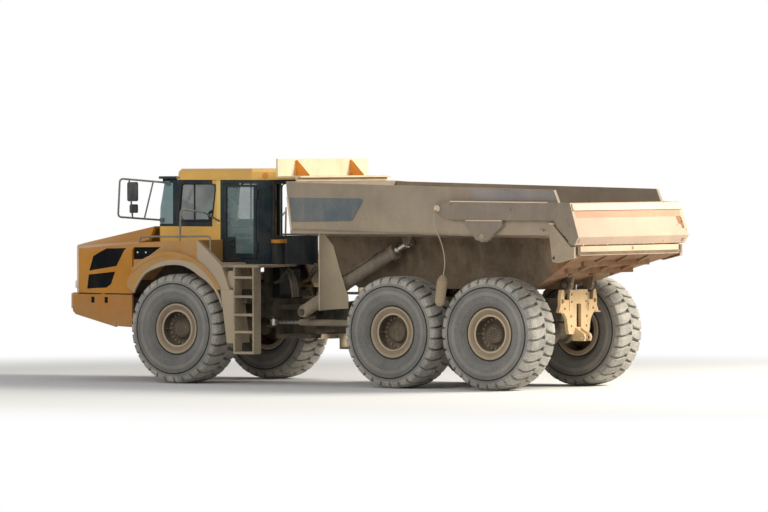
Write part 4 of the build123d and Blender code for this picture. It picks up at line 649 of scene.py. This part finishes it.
# ---- front body ----
dress("hood", "yellow", 0.022, 30, segments=3)
dress("bumper", "yellow_low", 0.014, segments=3)
dress("front_fenders", "fender", 0.012, 30, ("fender_rear",), lambda c, n: 1 if c.x < fx(-0.55) else 0, 3)
dress("fender_flaps", "fender_rear", 0.006)
dress("side_steps", "step", 0.006, merge=False)
dress("hydraulic_tank", "black", 0.010)
dress("air_cleaner", "black", 0.008, 30, ("yellow", "dark"),
      lambda c, n: (2 if c.y < 0 else (1 if c.z > 2.37 else 0)))
dress("side_vents", "mesh", 0)
dress("grille", "black", 0.006)
dress("head_lamps", "lamp", 0.008)
dress("roof_lamps", "lamp", 0.004, 30, ("amber", "black"),
      lambda c, n: 1 if c.x < fx(0) else (0 if n.x > 0.9 else 2))

# ---- cab ----
PILLAR_FRONT, PILLAR_EDGE, PILLAR_REAR = -0.222, -0.310, -0.392
GASKET_Z, SCREEN_REAR = 2.655, 0.612


def cab_face(c, n):
    """Yellow lower side and rear pillar, dark gasket, windscreen's glass corner. The yellow is the lighter
    roof copy of the paint, which is painted light, and the pillar's rear strip is a painted highlight.
    """
    x = c.x - FRONT_AXLE
    if abs(n.y) < 0.5:
        return 1 if c.z < GASKET_Z and x > PILLAR_REAR else 0
    if PILLAR_EDGE < x < PILLAR_FRONT:
        return 1
    if PILLAR_REAR < x <= PILLAR_EDGE:
        return 3
    if c.z < GASKET_Z and x > PILLAR_REAR:
        return 1
    return 2 if x > SCREEN_REAR and 2.70 < c.z < 3.40 else 0


def shell_face(c, n):
    """Yellow up to the window's gasket and up the pillar, dark behind the pillar. The yellow is the lighter
    roof copy of the paint, which is painted light.
    """
    x = c.x - FRONT_AXLE
    if x < PILLAR_REAR:
        return 1
    return 1 if c.z > GASKET_Z and x > PILLAR_FRONT else 0


# The cab's shell and frame take the lighter roof copy of the yellow, which is painted light.
dress("cab_shell", "roof", 0.010, 30, ("dark",), shell_face,
      cuts=(("x", fx(PILLAR_FRONT)), ("x", fx(PILLAR_REAR)), ("z", GASKET_Z)))
dress("cab_frame", "dark", 0.008, 30, ("roof", "quarter", "pillar_lit"), cab_face,
      cuts=(("x", fx(PILLAR_FRONT)), ("x", fx(PILLAR_EDGE)), ("x", fx(PILLAR_REAR)), ("x", fx(SCREEN_REAR)),
            ("z", GASKET_Z), ("z", 2.70), ("z", 3.40)))
dress("cab_roof", "roof", 0.020, 30, ("dark",), lambda c, n: 1 if c.x > fx(0.57) else 0, 3)
dress("cab_glass", "glass", 0.002)
dress("cab_door", "dark", 0.006)
dress("door_glass", "door_glass", 0.002)
dress("dashboard", "plastic", 0.012, segments=3)
dress("mirrors", "rail", 0.006, 30, ("mirror",),
      lambda c, n: 1 if abs(c.x - fx(1.09)) < 0.045 and c.z < 3.42 and abs(c.y) > 1.15 else 0)
dress("handrails", "rail", 0)


def cushion(name, x0, x1, y0, y1, z0, z1, tilt=0.0, channels=0):
    """A crowned pad with pulled-in edges and sewn channels across it."""
    bm = bmesh.new()
    bmesh.ops.create_cube(bm, size=1)
    bmesh.ops.subdivide_edges(bm, edges=bm.edges, cuts=9, use_grid_fill=True)
    sx, sy, sz = x1 - x0, y1 - y0, z1 - z0
    upright = sz > sx
    thick, long = (0, 2) if upright else (2, 0)
    for v in bm.verts:
        through, across, along = v.co[thick] * 2, v.co.y * 2, v.co[long] * 2
        v.co[thick] *= 0.72 + 0.28 * ((1 - across * across) * (1 - along * along)) ** 0.5
        if channels:
            v.co[thick] *= 1 - 0.05 * (0.5 + 0.5 * math.cos(channels * math.pi * along))
        pull = 1 - 0.05 * through * through
        v.co.y *= pull * (1 - (0.05 if upright else 0.04) * along * along)
        v.co[long] *= pull * (1 - (0.03 if upright else 0.04) * across * across)
    place = Matrix.Translation((fx((x0 + x1) / 2), (y0 + y1) / 2, (z0 + z1) / 2))
    place = place @ Matrix.Rotation(tilt, 4, "Y") @ Matrix.Diagonal((sx, sy, sz, 1))
    bmesh.ops.transform(bm, matrix=place, verts=bm.verts)
    obj = to_object(name, bm, "front_unit", "seat", 60)
    mod = obj.modifiers.new("round", "SUBSURF")
    mod.levels = mod.render_levels = 2
    return obj


seat = cushion("seat_cushion", -0.70, -0.19, -0.25, 0.25, 2.44, 2.57, 0.05, 4)
cushion("seat_back", -0.80, -0.67, -0.24, 0.24, 2.56, 3.12, -0.11, 5)
cushion("seat_headrest", -0.82, -0.73, -0.13, 0.13, 3.08, 3.195, -0.11)
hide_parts("cab_seat")
stand = Group("seat_stand", "front_unit", "plastic", "dark_plastic")
stand.box(fx(-0.62), fx(-0.30), -0.16, 0.16, 2.061, 2.16, 0.01)
stand.box(fx(-0.58), fx(-0.34), -0.13, 0.13, 2.16, 2.34, 0.02)
stand.box(fx(-0.68), fx(-0.22), -0.22, 0.22, 2.34, 2.44, 0.02)
for y in (-0.29, 0.25):
    stand.box(fx(-0.55), fx(-0.25), y, y + 0.04, 2.62, 2.66, 0.012)
stand.done()

# ---- tailgate wire ----
# Columns: distance from the front axle, distance to the left, height
ROUTE = [(-5.430, 1.690, 2.950), (-5.430, 1.745, 2.950), (-5.430, 1.785, 2.915), (-5.432, 1.797, 2.840),
         (-5.445, 1.800, 2.740), (-5.480, 1.800, 2.630), (-5.560, 1.800, 2.480), (-5.620, 1.800, 2.320),
         (-5.650, 1.800, 2.160), (-5.650, 1.800, 2.030), (-5.618, 1.800, 1.880), (-5.575, 1.800, 1.640),
         (-5.545, 1.800, 1.400)]
WIRE_R = 0.009
# The rope's wrapping: length, full radius, radius at the top, turns of its strands
WRAP_LENGTH, WRAP_R, WRAP_TOP_R, WRAP_TURNS = 0.52, 0.090, 0.018, 26
WRAP_NECK, WRAP_END = 0.26, 0.86  # shares of the length: full from here, narrower again from there


def smooth_line(name, points, radius, mat):
    curve = bpy.data.curves.new(name, "CURVE")
    curve.dimensions = "3D"
    spline = curve.splines.new("NURBS")
    spline.points.add(len(points) - 1)
    for p, (x, y, z) in zip(spline.points, points):
        p.co = (fx(x), y, z, 1)
    spline.order_u = 3
    spline.use_endpoint_u = True
    spline.resolution_u = 12
    curve.bevel_depth = radius
    curve.bevel_resolution = 4
    curve.use_fill_caps = True
    curve.materials.append(M[mat])
    return new_object(name, curve)


wire = smooth_line("tailgate_wire", ROUTE, WIRE_R, "wire")
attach(wire, "tailgate")
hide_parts("tailgate_cable")

# The wrapped end: a rough coil of rope round the wire's foot.
foot = Vector((fx(-5.620), 1.800, 1.900))
hang = Vector((0.083, 0, -0.513)).normalized()
bm = bmesh.new()
rows = 46
side_a = hang.orthogonal().normalized()
side_b = hang.cross(side_a)
rings = []
for i in range(rows):
    t = i / (rows - 1)
    if t < WRAP_NECK:
        r = WRAP_TOP_R + (WRAP_R - WRAP_TOP_R) * math.sin(t / WRAP_NECK * math.pi / 2) ** 0.8
    else:
        r = WRAP_R - 0.012 * (t - WRAP_NECK) - 0.045 * max(0, (t - WRAP_END) / (1 - WRAP_END)) ** 2
    ring = []
    for u in round_angles(40):
        strand = 0.0035 * math.cos(2 * math.pi * WRAP_TURNS * t + u)
        strand += 0.004 * noise.noise(Vector((u * 1.3, t * 9, 3)))
        out = side_a * math.cos(u) + side_b * math.sin(u)
        ring.append(bm.verts.new(foot + hang * (WRAP_LENGTH * t) + out * min(0.094, r + strand)))
    rings.append(ring)
join_rings(bm, rings)
bm.faces.new(rings[0])
bm.faces.new(rings[-1])
bundle = to_object("wire_wrapping", bm, "tailgate", "bundle", 40)
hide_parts("cable_bundle")

# ---- fittings ----
TREES = {}
SIDES = ((1, "left"), (-1, "right"))
BED_SIDE = 1.6003
# Columns: name, material, how far out it reaches, edge radius, outline (distance from the front axle, height)
BED_PLATES = [
    ("bed_plate", "plate", 1.606, 0.003, [(-2.372, 3.158), (-2.424, 2.752), (-3.600, 2.772), (-3.668, 2.784),
                                          (-3.860, 3.080), (-3.872, 3.122), (-3.838, 3.148)]),
    ("bed_flange", "guard", 1.618, 0.003, [(-2.318, 3.170), (-2.352, 3.170), (-2.434, 2.612),
                                           (-2.398, 2.612)]),
    ("bed_scratched_band", "bed_band", 1.6032, 0, [(-6.02, 3.322), (-6.60, 3.310), (-7.645, 3.288),
                                                   (-7.700, 3.120), (-6.16, 3.120)]),
    ("bed_rail_trim", "gate_arm", 1.612, 0.003, [(-2.44, 2.640), (-4.57, 2.592), (-6.20, 2.556),
                                                 (-6.20, 2.534), (-4.57, 2.568), (-2.44, 2.614)]),
    ("gate_stop", "guard", 1.640, 0.003, [(-7.59, 2.760), (-7.69, 2.760), (-7.69, 2.716), (-7.59, 2.716)]),
]
ARM_BOLTS = [(-7.979, 2.827), (-8.015, 2.726), (-8.030, 2.925), (-7.93, 3.03)]
GATE_PIVOT = (-6.31, 2.527)


def surface(node, origin, direction):
    """Where a ray first meets a CAD node."""
    if node not in TREES:
        bm = bmesh.new()
        bm.from_mesh(nodes[node].data)
        TREES[node] = BVHTree.FromBMesh(bm)
        bm.free()
    return TREES[node].ray_cast(Vector(origin), Vector(direction))[0]


def side_y(node, x, z, hand):
    """How far out a node's side stands at a distance from the front axle and a height."""
    return surface(node, (fx(x), hand * 4, z), (0, -hand, 0)).y


def rear_x(node, y, z):
    """Where a node's rear face stands at a distance to the left and a height."""
    return surface(node, (fx(-9), y, z), (1, 0, 0)).x


def flat(group, points, y0, y1, hand, edge=0.003):
    """A flat side plate between two distances out, on the side that hand names."""
    return group.plate(points, hand * y0, hand * y1, edge)


for hand, side_name in SIDES:
    for name, mat, reach, edge, outline in BED_PLATES:
        cover = Group(name + "_" + side_name, "bed", mat, "bed_steel")
        flat(cover, outline, BED_SIDE, reach, hand, edge).done()
    # Bolts on the tailgate's arm and pivot.
    arm = Group("arm_bolts_" + side_name, "tailgate", "bolt", "tailgate_steel")
    pivot_bolts = [(GATE_PIVOT[0] + 0.078 * math.cos(t), GATE_PIVOT[1] + 0.078 * math.sin(t))
                   for t in round_angles(6, 0.25)]
    for spots, r, h in ((ARM_BOLTS, 0.017, 0.009), (pivot_bolts, 0.013, 0.008)):
        on_arm = [(fx(x), side_y("tailgate", x, z, hand) - hand * 0.001, z) for x, z in spots]
        arm.bolts(on_arm, (0, hand, 0), r, h)
    arm.done()
    # Painted highlight: a light strip along the arm's top edge and one along the folded bracket round its
    # pivot.
    edge = Group("arm_highlight_" + side_name, "tailgate", "gate_rim", "tailgate_steel")
    flat(edge, [(-5.68, 3.116), (-7.60, 3.102), (-7.60, 3.084), (-5.68, 3.098)], 1.690, 1.697, hand, 0.002)
    flat(edge, [(-5.99, 2.800), (-6.70, 2.800), (-6.70, 2.786), (-5.99, 2.786)], 1.690, 1.699, hand, 0.002)
    edge.done()
    # Bumper's side slots: thin near-black plates on the bumper's side, painted shade for the slots' shaded
    # openings.
    slots = Group("bumper_slot_shade_" + side_name, "front_unit", "mesh", "yellow_paint")
    for x in (1.908, 1.601):
        y = side_y("bumper", x, 1.395, hand)
        slots.box(fx(x - 0.042), fx(x + 0.042), y - 0.002, y + hand * 0.0025, 1.345, 1.445, 0.001)
    slots.done()
    # Hoist barrel: a thin pipe along its top, clamps and end bands.
    axis = Vector((-0.8784, 0, 0.4779))
    above = Vector((0.4779, 0, 0.8784))
    foot_pin = Vector((fx(-2.170), hand * 0.930, 1.224))
    line = Group("hoist_pipe_" + side_name, "hoist_barrels", "hose", "barrel_steel")
    start, end = 0.42, 2.05
    outward = Vector((0, hand, 0))
    lay = (above * 0.9 + outward * 0.43).normalized()
    line.pipe([foot_pin + axis * start + lay * 0.108, foot_pin + axis * (start + 0.05) + lay * 0.142,
               foot_pin + axis * (end - 0.05) + lay * 0.142, foot_pin + axis * end + lay * 0.108], 0.016, 10)
    line.done()
    bands = Group("hoist_bands_" + side_name, "hoist_barrels", "barrel", "barrel_steel", 28)
    clamp = [(0, 0.1045), (0.003, 0.111), (0.047, 0.111), (0.05, 0.1045)]
    end_band = [(0, 0.1265), (0.002, 0.131), (0.012, 0.131), (0.014, 0.1265)]
    for profile, places in ((clamp, (0.30, 0.95, 1.55)), (end_band, (2.080, 2.166))):
        for d in places:
            bands.lathe(profile, foot_pin + axis * d, axis, 40)
    for t in round_angles(8):
        spot = foot_pin + axis * 2.182 + (above * math.cos(t) + outward * math.sin(t)) * 0.112
        bands.rod(spot, spot + axis * 0.010, 0.009, 6)
    bands.done()


# Tailgate's rear face: top beam, sunk band as a strip of painted shadow, lip joint and rust.
def gate_strip(name, mat, y0, y1, z0, z1, proud, columns=12):
    """A strip that follows the tailgate's rear face, standing proud of it."""
    bm = bmesh.new()
    rows = []
    for z in (z0, z1):
        for lift in (0.0, proud):
            rows.append([bm.verts.new((rear_x("tailgate", y, z) - lift, y, z))
                         for y in (y0 + (y1 - y0) * k / columns for k in range(columns + 1))])
    low_in, low_out, high_in, high_out = rows
    for k in range(columns):
        for a, b in ((low_out, high_out), (low_in, high_in), (low_in, low_out), (high_in, high_out)):
            bm.faces.new((a[k], a[k + 1], b[k + 1], b[k]))
    for k in (0, columns):
        bm.faces.new((low_in[k], low_out[k], high_out[k], high_in[k]))
    soften(to_object(name, bm, "tailgate", mat, 30), min(0.006, proud * 0.4))


gate_strip("gate_top_beam", "gate_rim", -1.66, 1.66, 2.962, 3.070, 0.022)
# Painted shadow: a darker strip, barely proud of the face, stands for the shade in the sunk band.
gate_strip("gate_band", "gate_band", -1.58, 1.60, 2.846, 2.956, 0.0025)
gate_strip("gate_lip_joint", "seam", -1.60, 1.62, 2.392, 2.402, 0.002)


def rust_patch(name, y, z, half_y, half_z, seed):
    """A ragged thin patch of bare rusty plate on the tailgate's face."""
    bm = bmesh.new()
    count = 28
    ring = []
    for t in round_angles(count):
        spread = 0.72 + 0.5 * noise.noise(Vector((math.cos(t) * 1.7, math.sin(t) * 1.7, seed)))
        ring.append((y + half_y * spread * math.cos(t), z + half_z * spread * math.sin(t)))
    outer = [bm.verts.new((rear_x("tailgate", py, pz) - 0.0012, py, pz)) for py, pz in ring]
    inner = [bm.verts.new((rear_x("tailgate", py, pz) + 0.003, py, pz)) for py, pz in ring]
    middle = bm.verts.new((rear_x("tailgate", y, z) - 0.0012, y, z))
    for k in range(count):
        n = (k + 1) % count
        bm.faces.new((outer[k], outer[n], middle))
        bm.faces.new((outer[k], outer[n], inner[n], inner[k]))
    to_object(name, bm, "tailgate", "rust", 60)


rust_patch("rust_patch_1", -1.500, 2.800, 0.115, 0.120, 1)
rust_patch("rust_patch_2", -1.560, 2.700, 0.070, 0.080, 2)
rust_patch("rust_patch_3", -1.560, 2.462, 0.060, 0.034, 3)
rust_patch("rust_patch_4", 1.620, 2.470, 0.035, 0.055, 4)
random.seed(SEED)
lumps = Group("gate_lip_lumps", "tailgate", "gate_rim", "tailgate_steel")
for k in range(9):
    y = -1.42 + 0.355 * k + random.uniform(-0.05, 0.05)
    x = rear_x("tailgate", y, 2.404)
    size = random.uniform(0.010, 0.022)
    lumps.rod((x + 0.002, y, 2.404), (x - 0.004 - size * 0.3, y, 2.404), size, 8, size * 0.7)
lumps.done()

# Frame tail: bolt rows, welded ribs and the valve pair between the bed's hinges.
tail = Group("frame_tail_bolts", "rear_frame", "bolt", "cream_paint")
for y, z in ((-0.22, 1.56), (0.22, 1.56), (-0.22, 1.44), (0.22, 1.44), (-0.24, 1.20), (0.24, 1.20),
             (-0.23, 1.04), (0.23, 1.04), (-0.43, 1.33), (0.43, 1.33)):
    tail.bolts([(rear_x("frame_tail", y, z) + 0.001, y, z)], (-1, 0, 0), 0.018, 0.014)
tail.done()
ribs = Group("frame_tail_ribs", "rear_frame", "lug", "cream_paint")
for y in (-0.30, -0.27, 0.285):
    ribs.box(fx(-7.118), fx(-7.1095), y - 0.006, y + 0.006, 1.29, 1.60, 0.002)
for y in (-0.60, 0.46):
    ribs.box(fx(-7.150), fx(-7.1095), y, y + 0.14, 1.262, 1.276, 0.002)
ribs.done()
valves = Group("tail_valves", "rear_frame", "silver", "cream_paint")
for y in (-0.14, 0.02):
    valves.rod((fx(-6.96), y, 1.44), (fx(-6.96), y, 1.70), 0.022, 16)
    valves.rod((fx(-6.96), y, 1.70), (fx(-6.96), y, 1.715), 0.030, 16)
valves.done()

# Cab: window seals, sliding-pane bar, handle, wiper and the tube behind the rear corner.
seals = Group("window_seals", "front_unit", "black", "dark_steel", 50)
FRONT_PANE = [(0.500, 2.750), (0.435, 3.380), (-0.300, 3.380), (-0.220, 2.750)]
REAR_PANE = [(-0.460, 2.350), (-0.460, 3.380), (-1.130, 3.380), (-1.130, 2.350)]
for outline, hand in ((FRONT_PANE, 1), (FRONT_PANE, -1), (REAR_PANE, -1)):
    ring = [(fx(x), hand * 0.853, z) for x, z in outline]
    middle = [sum(p[i] for p in ring[:2]) / 2 for i in range(3)]
    seals.pipe([middle, *ring[1:], ring[0], middle], 0.012, 8)
for y in (0.812, -0.832):
    seals.box(fx(0.160), fx(0.184), y, y + 0.020, 2.752, 3.378, 0.003)
seals.done()
handle = Group("door_handle", "cab_door", "black", "dark_steel", 40)
y = side_y("cab_door", -0.56, 2.30, 1)
handle.pipe([(fx(-0.493), y - 0.002, 2.405), (fx(-0.500), y + 0.030, 2.400), (fx(-0.680), y + 0.030, 2.325),
             (fx(-0.691), y - 0.002, 2.318)], 0.012, 10)
handle.rod((fx(-0.510), y - 0.002, 2.440), (fx(-0.510), y + 0.012, 2.440), 0.020, 20)
handle.done()
wiper = Group("wiper", "front_unit", "black", "dark_steel", 40)
slope = 160 / 750  # how far the windscreen leans back for each metre of height


def on_screen(y, z, lift):
    """A point in front of the windscreen at a distance to the left and a height."""
    return (fx(0.940 - slope * (z - 2.700) + lift), y, z)


wiper.pipe([on_screen(0.10, 2.735, 0.005), on_screen(0.12, 2.78, 0.03), on_screen(0.42, 3.10, 0.035)],
           0.008, 8)
wiper.pipe([on_screen(0.30, 2.86, 0.022), on_screen(0.52, 3.30, 0.022)], 0.009, 8)
wiper.done()
post = Group("rear_tube", "front_unit", "black", "dark_steel", 40)
for hand in (1, -1):
    post.pipe([(fx(-1.455), hand * 0.80, 2.021), (fx(-1.470), hand * 0.78, 2.90),
               (fx(-1.440), hand * 0.74, 3.42)], 0.021, 12)
    post.pipe([(fx(-1.440), hand * 0.74, 3.36), (fx(-1.33), hand * 0.70, 3.36)], 0.012, 10)
    post.pipe([(fx(-1.468), hand * 0.783, 2.60), (fx(-1.30), hand * 0.74, 2.60)], 0.012, 10)
post.done()

# Rounded housing by the ladder, tread studs and hoses behind the cab.
housing = Group("ladder_housing", "front_unit", "fender_rear", "dark_steel", 40)
for hand in (1, -1):
    low, high = sorted((hand * 1.40, hand * 1.56))
    housing.box(fx(-1.235), fx(-1.035), low, high, 1.62, 1.93, 0.06)
housing.done()
grip = Group("tread_studs", "front_unit", "step", "dark_steel")
for hand in (1, -1):
    for top in (1.830, 1.505, 1.200, 0.910, 0.560):
        for i in range(5):
            for j in range(3):
                x, y = -1.330 - 0.062 * i, hand * (1.485 + 0.070 * j)
                grip.rod((fx(x), y, top - 0.001), (fx(x), y, top + 0.005), 0.013, 8, 0.009)
    for i in range(11):
        for j in range(8):
            x, y = -1.060 - 0.062 * i, hand * (0.96 + 0.085 * j)
            grip.rod((fx(x), y, 2.019), (fx(x), y, 2.025), 0.014, 8, 0.010)
grip.done()
hoses = Group("frame_hoses", "front_unit", "hose", "dark_steel", 50)
for y, z, r in ((0.46, 2.04, 0.022), (0.40, 2.10, 0.018), (0.33, 2.05, 0.022), (-0.42, 2.06, 0.022),
                (-0.36, 2.11, 0.018)):
    hoses.pipe([(fx(-1.245), y, 1.70), (fx(-1.36), y, 1.74), (fx(-1.50), y * 1.05, z - 0.12),
                (fx(-1.62), y * 1.1, z - 0.30), (fx(-1.66), y * 1.1, 1.46)], r, 10)
hoses.done()

# Front: fender skirt and a grey lip inside the arch, partly dust and partly painted highlight, bumper's side
# returns, dark vent plate.
ARCH = (0.120, 1.000)
# Columns: degrees round the arch, radius
LIP_IN = [(35, 0.914), (60, 0.995), (75, 0.990), (92, 1.010), (107, 1.039), (127, 1.042), (148, 1.122),
          (166, 1.150)]
LIP_OUT = [(35, 0.935), (60, 1.030), (76, 1.067), (102, 1.118), (116, 1.168), (148, 1.168), (166, 1.168)]


def between(table, t):
    """The value at t on a line through (place, value) pairs."""
    for (a, va), (b, vb) in zip(table, table[1:]):
        if t <= b:
            return va + (vb - va) * (t - a) / (b - a)
    return table[-1][1]


def arch_band(name, mat, inner, outer, first, last, y0, y1, hand):
    """A plate that follows the wheel arch between two radii that change with the angle."""
    bm = bmesh.new()
    rows = []
    for k in range(first, last + 1, 2):
        t = math.radians(k)
        row = []
        for r, y in ((inner(k), y0), (outer(k), y0), (outer(k), y1), (inner(k), y1)):
            row.append(bm.verts.new((fx(ARCH[0] + r * math.cos(t)), hand * y, ARCH[1] + r * math.sin(t))))
        rows.append(row)
    join_rings(bm, rows)
    bm.faces.new(rows[0])
    bm.faces.new(rows[-1])
    soften(to_object(name, bm, "front_unit", mat, 40), 0.005)


for hand, side_name in SIDES:
    arch_band("fender_skirt_" + side_name, "fender", lambda k: between(LIP_OUT, k) - 0.004,
              lambda k: min(1.172, 0.90 / math.cos(math.radians(k)) if k < 80 else 9),
              35, 117, 1.598, 1.632, hand)
    # The lip's grey is partly dust and partly a painted highlight along the arch's edge.
    arch_band("fender_lip_dust_and_highlight_" + side_name, "fender_rear", lambda k: between(LIP_IN, k),
              lambda k: between(LIP_OUT, k), 35, 165, 1.592, 1.640, hand)
    wing = Group("bumper_return_" + side_name, "front_unit", "yellow_low", "yellow_paint")
    flat(wing, [(1.045, 1.489), (1.392, 1.489), (1.392, 0.950), (1.045, 0.935)], 1.400, 1.447, hand,
         0.008).done()
    vent = Group("fender_vent_" + side_name, "front_unit", "mesh", "yellow_paint")
    flat(vent, [(1.019, 2.312), (0.395, 2.322), (0.765, 2.094), (1.019, 2.084)], 1.392, 1.404, hand,
         0.002).done()
    screws = Group("fender_vent_screws_" + side_name, "front_unit", "silver", "yellow_paint")
    for x in (0.950, 0.775):
        screws.rod((fx(x), hand * 1.403, 2.215), (fx(x), hand * 1.412, 2.215), 0.016, 12)
    screws.done()

# Bed's tail: the bright lip under the gate, and the wire's shackle.
tail_edge = Group("bed_tail_lip", "bed", "tail_lip", "bed_steel")
lip_x = rear_x("bed", 0.3, 2.240)
tail_edge.box(lip_x + 0.002, lip_x + 0.020, -1.50, 1.50, 2.230, 2.380, 0.004)
tail_edge.done()
shackle = Group("wire_shackle", "tailgate", "gate_rim", "wire_steel", 40)
shackle.lathe([(-0.002, 0.001), (-0.002, 0.052), (0.016, 0.058), (0.030, 0.050), (0.036, 0.030),
               (0.060, 0.028), (0.068, 0.020), (0.070, 0.001)], (fx(-5.430), 1.690, 2.990), (0, 1, 0), 24)
shackle.done()


# ---- stage ----
def stage_material():
    """Pale floor that fades to the white background away from the object."""
    m = Nodes("floor_mat")
    path = m.node("ShaderNodeLightPath")
    seen = m.math("MAXIMUM", m.math("MAXIMUM", path.outputs["Is Camera Ray"], path.outputs["Is Glossy Ray"]),
                  path.outputs["Is Transmission Ray"])
    length = m.node("ShaderNodeVectorMath", operation="LENGTH")
    m.link(m.coords.outputs["Object"], length.inputs[0])
    far = m.ramp(length.outputs["Value"], 9.0, 17.0)
    glow = m.node("ShaderNodeEmission")
    glow.inputs["Color"].default_value = (1, 1, 1, 1)
    glow.inputs["Strength"].default_value = 1.0
    diffuse = m.node("ShaderNodeBsdfDiffuse")
    diffuse.inputs["Color"].default_value = (0.86, 0.85, 0.83, 1)
    blend = m.node("ShaderNodeMixShader")
    m.link(m.math("MULTIPLY", far, seen), blend.inputs[0])
    m.link(diffuse.outputs[0], blend.inputs[1])
    m.link(glow.outputs[0], blend.inputs[2])
    m.link(blend.outputs[0], m.tree.nodes["Material Output"].inputs["Surface"])
    return m.mat


bm = bmesh.new()
bmesh.ops.create_circle(bm, cap_ends=True, radius=90, segments=96)
floor_data = bpy.data.meshes.new("floor")
bm.to_mesh(floor_data)
bm.free()
floor = new_object("floor", floor_data)
floor.location.z = -0.0005
floor_data.materials.append(stage_material())

world = bpy.data.worlds.new("world")
bpy.context.scene.world = world
world.use_nodes = True
tree = world.node_tree
tree.nodes.clear()
add, join = tree.nodes.new, tree.links.new
out = add("ShaderNodeOutputWorld")
shown = add("ShaderNodeBackground")
shown.inputs["Color"].default_value = (1, 1, 1, 1)
lit = add("ShaderNodeBackground")
lit.inputs["Color"].default_value = (0.93, 0.96, 1.0, 1)
lit.inputs["Strength"].default_value = 0.34
ray = add("ShaderNodeLightPath")
seen = ray.outputs["Is Camera Ray"]
for kind in ("Is Glossy Ray", "Is Transmission Ray"):
    n = add("ShaderNodeMath")
    n.operation = "MAXIMUM"
    join(seen, n.inputs[0])
    join(ray.outputs[kind], n.inputs[1])
    seen = n.outputs[0]
pick = add("ShaderNodeMixShader")
join(seen, pick.inputs[0])
join(lit.outputs[0], pick.inputs[1])
join(shown.outputs[0], pick.inputs[2])
join(pick.outputs[0], out.inputs["Surface"])


def area(name, place, aim, size, power, colour=(1, 1, 1)):
    data = bpy.data.lights.new(name, "AREA")
    data.shape = "RECTANGLE"
    data.size, data.size_y = size
    data.energy = power
    data.color = colour
    obj = new_object(name, data)
    obj.location = place
    obj.rotation_mode = "QUATERNION"
    obj.rotation_quaternion = (Vector(aim) - Vector(place)).to_track_quat("-Z", "Y")


area("key_rear", (-17, -9, 13), (0, 0, 1.8), (9, 7), 6300, (1.0, 0.95, 0.86))
area("fill_left", (-3, 20, 10), (0, 0, 1.5), (14, 8), 1250, (1.0, 0.99, 0.97))
area("fill_front", (16, 8, 8), (0, 0, 1.8), (8, 8), 160, (0.94, 0.97, 1.0))

bpy.context.scene.view_settings.view_transform = "Standard"
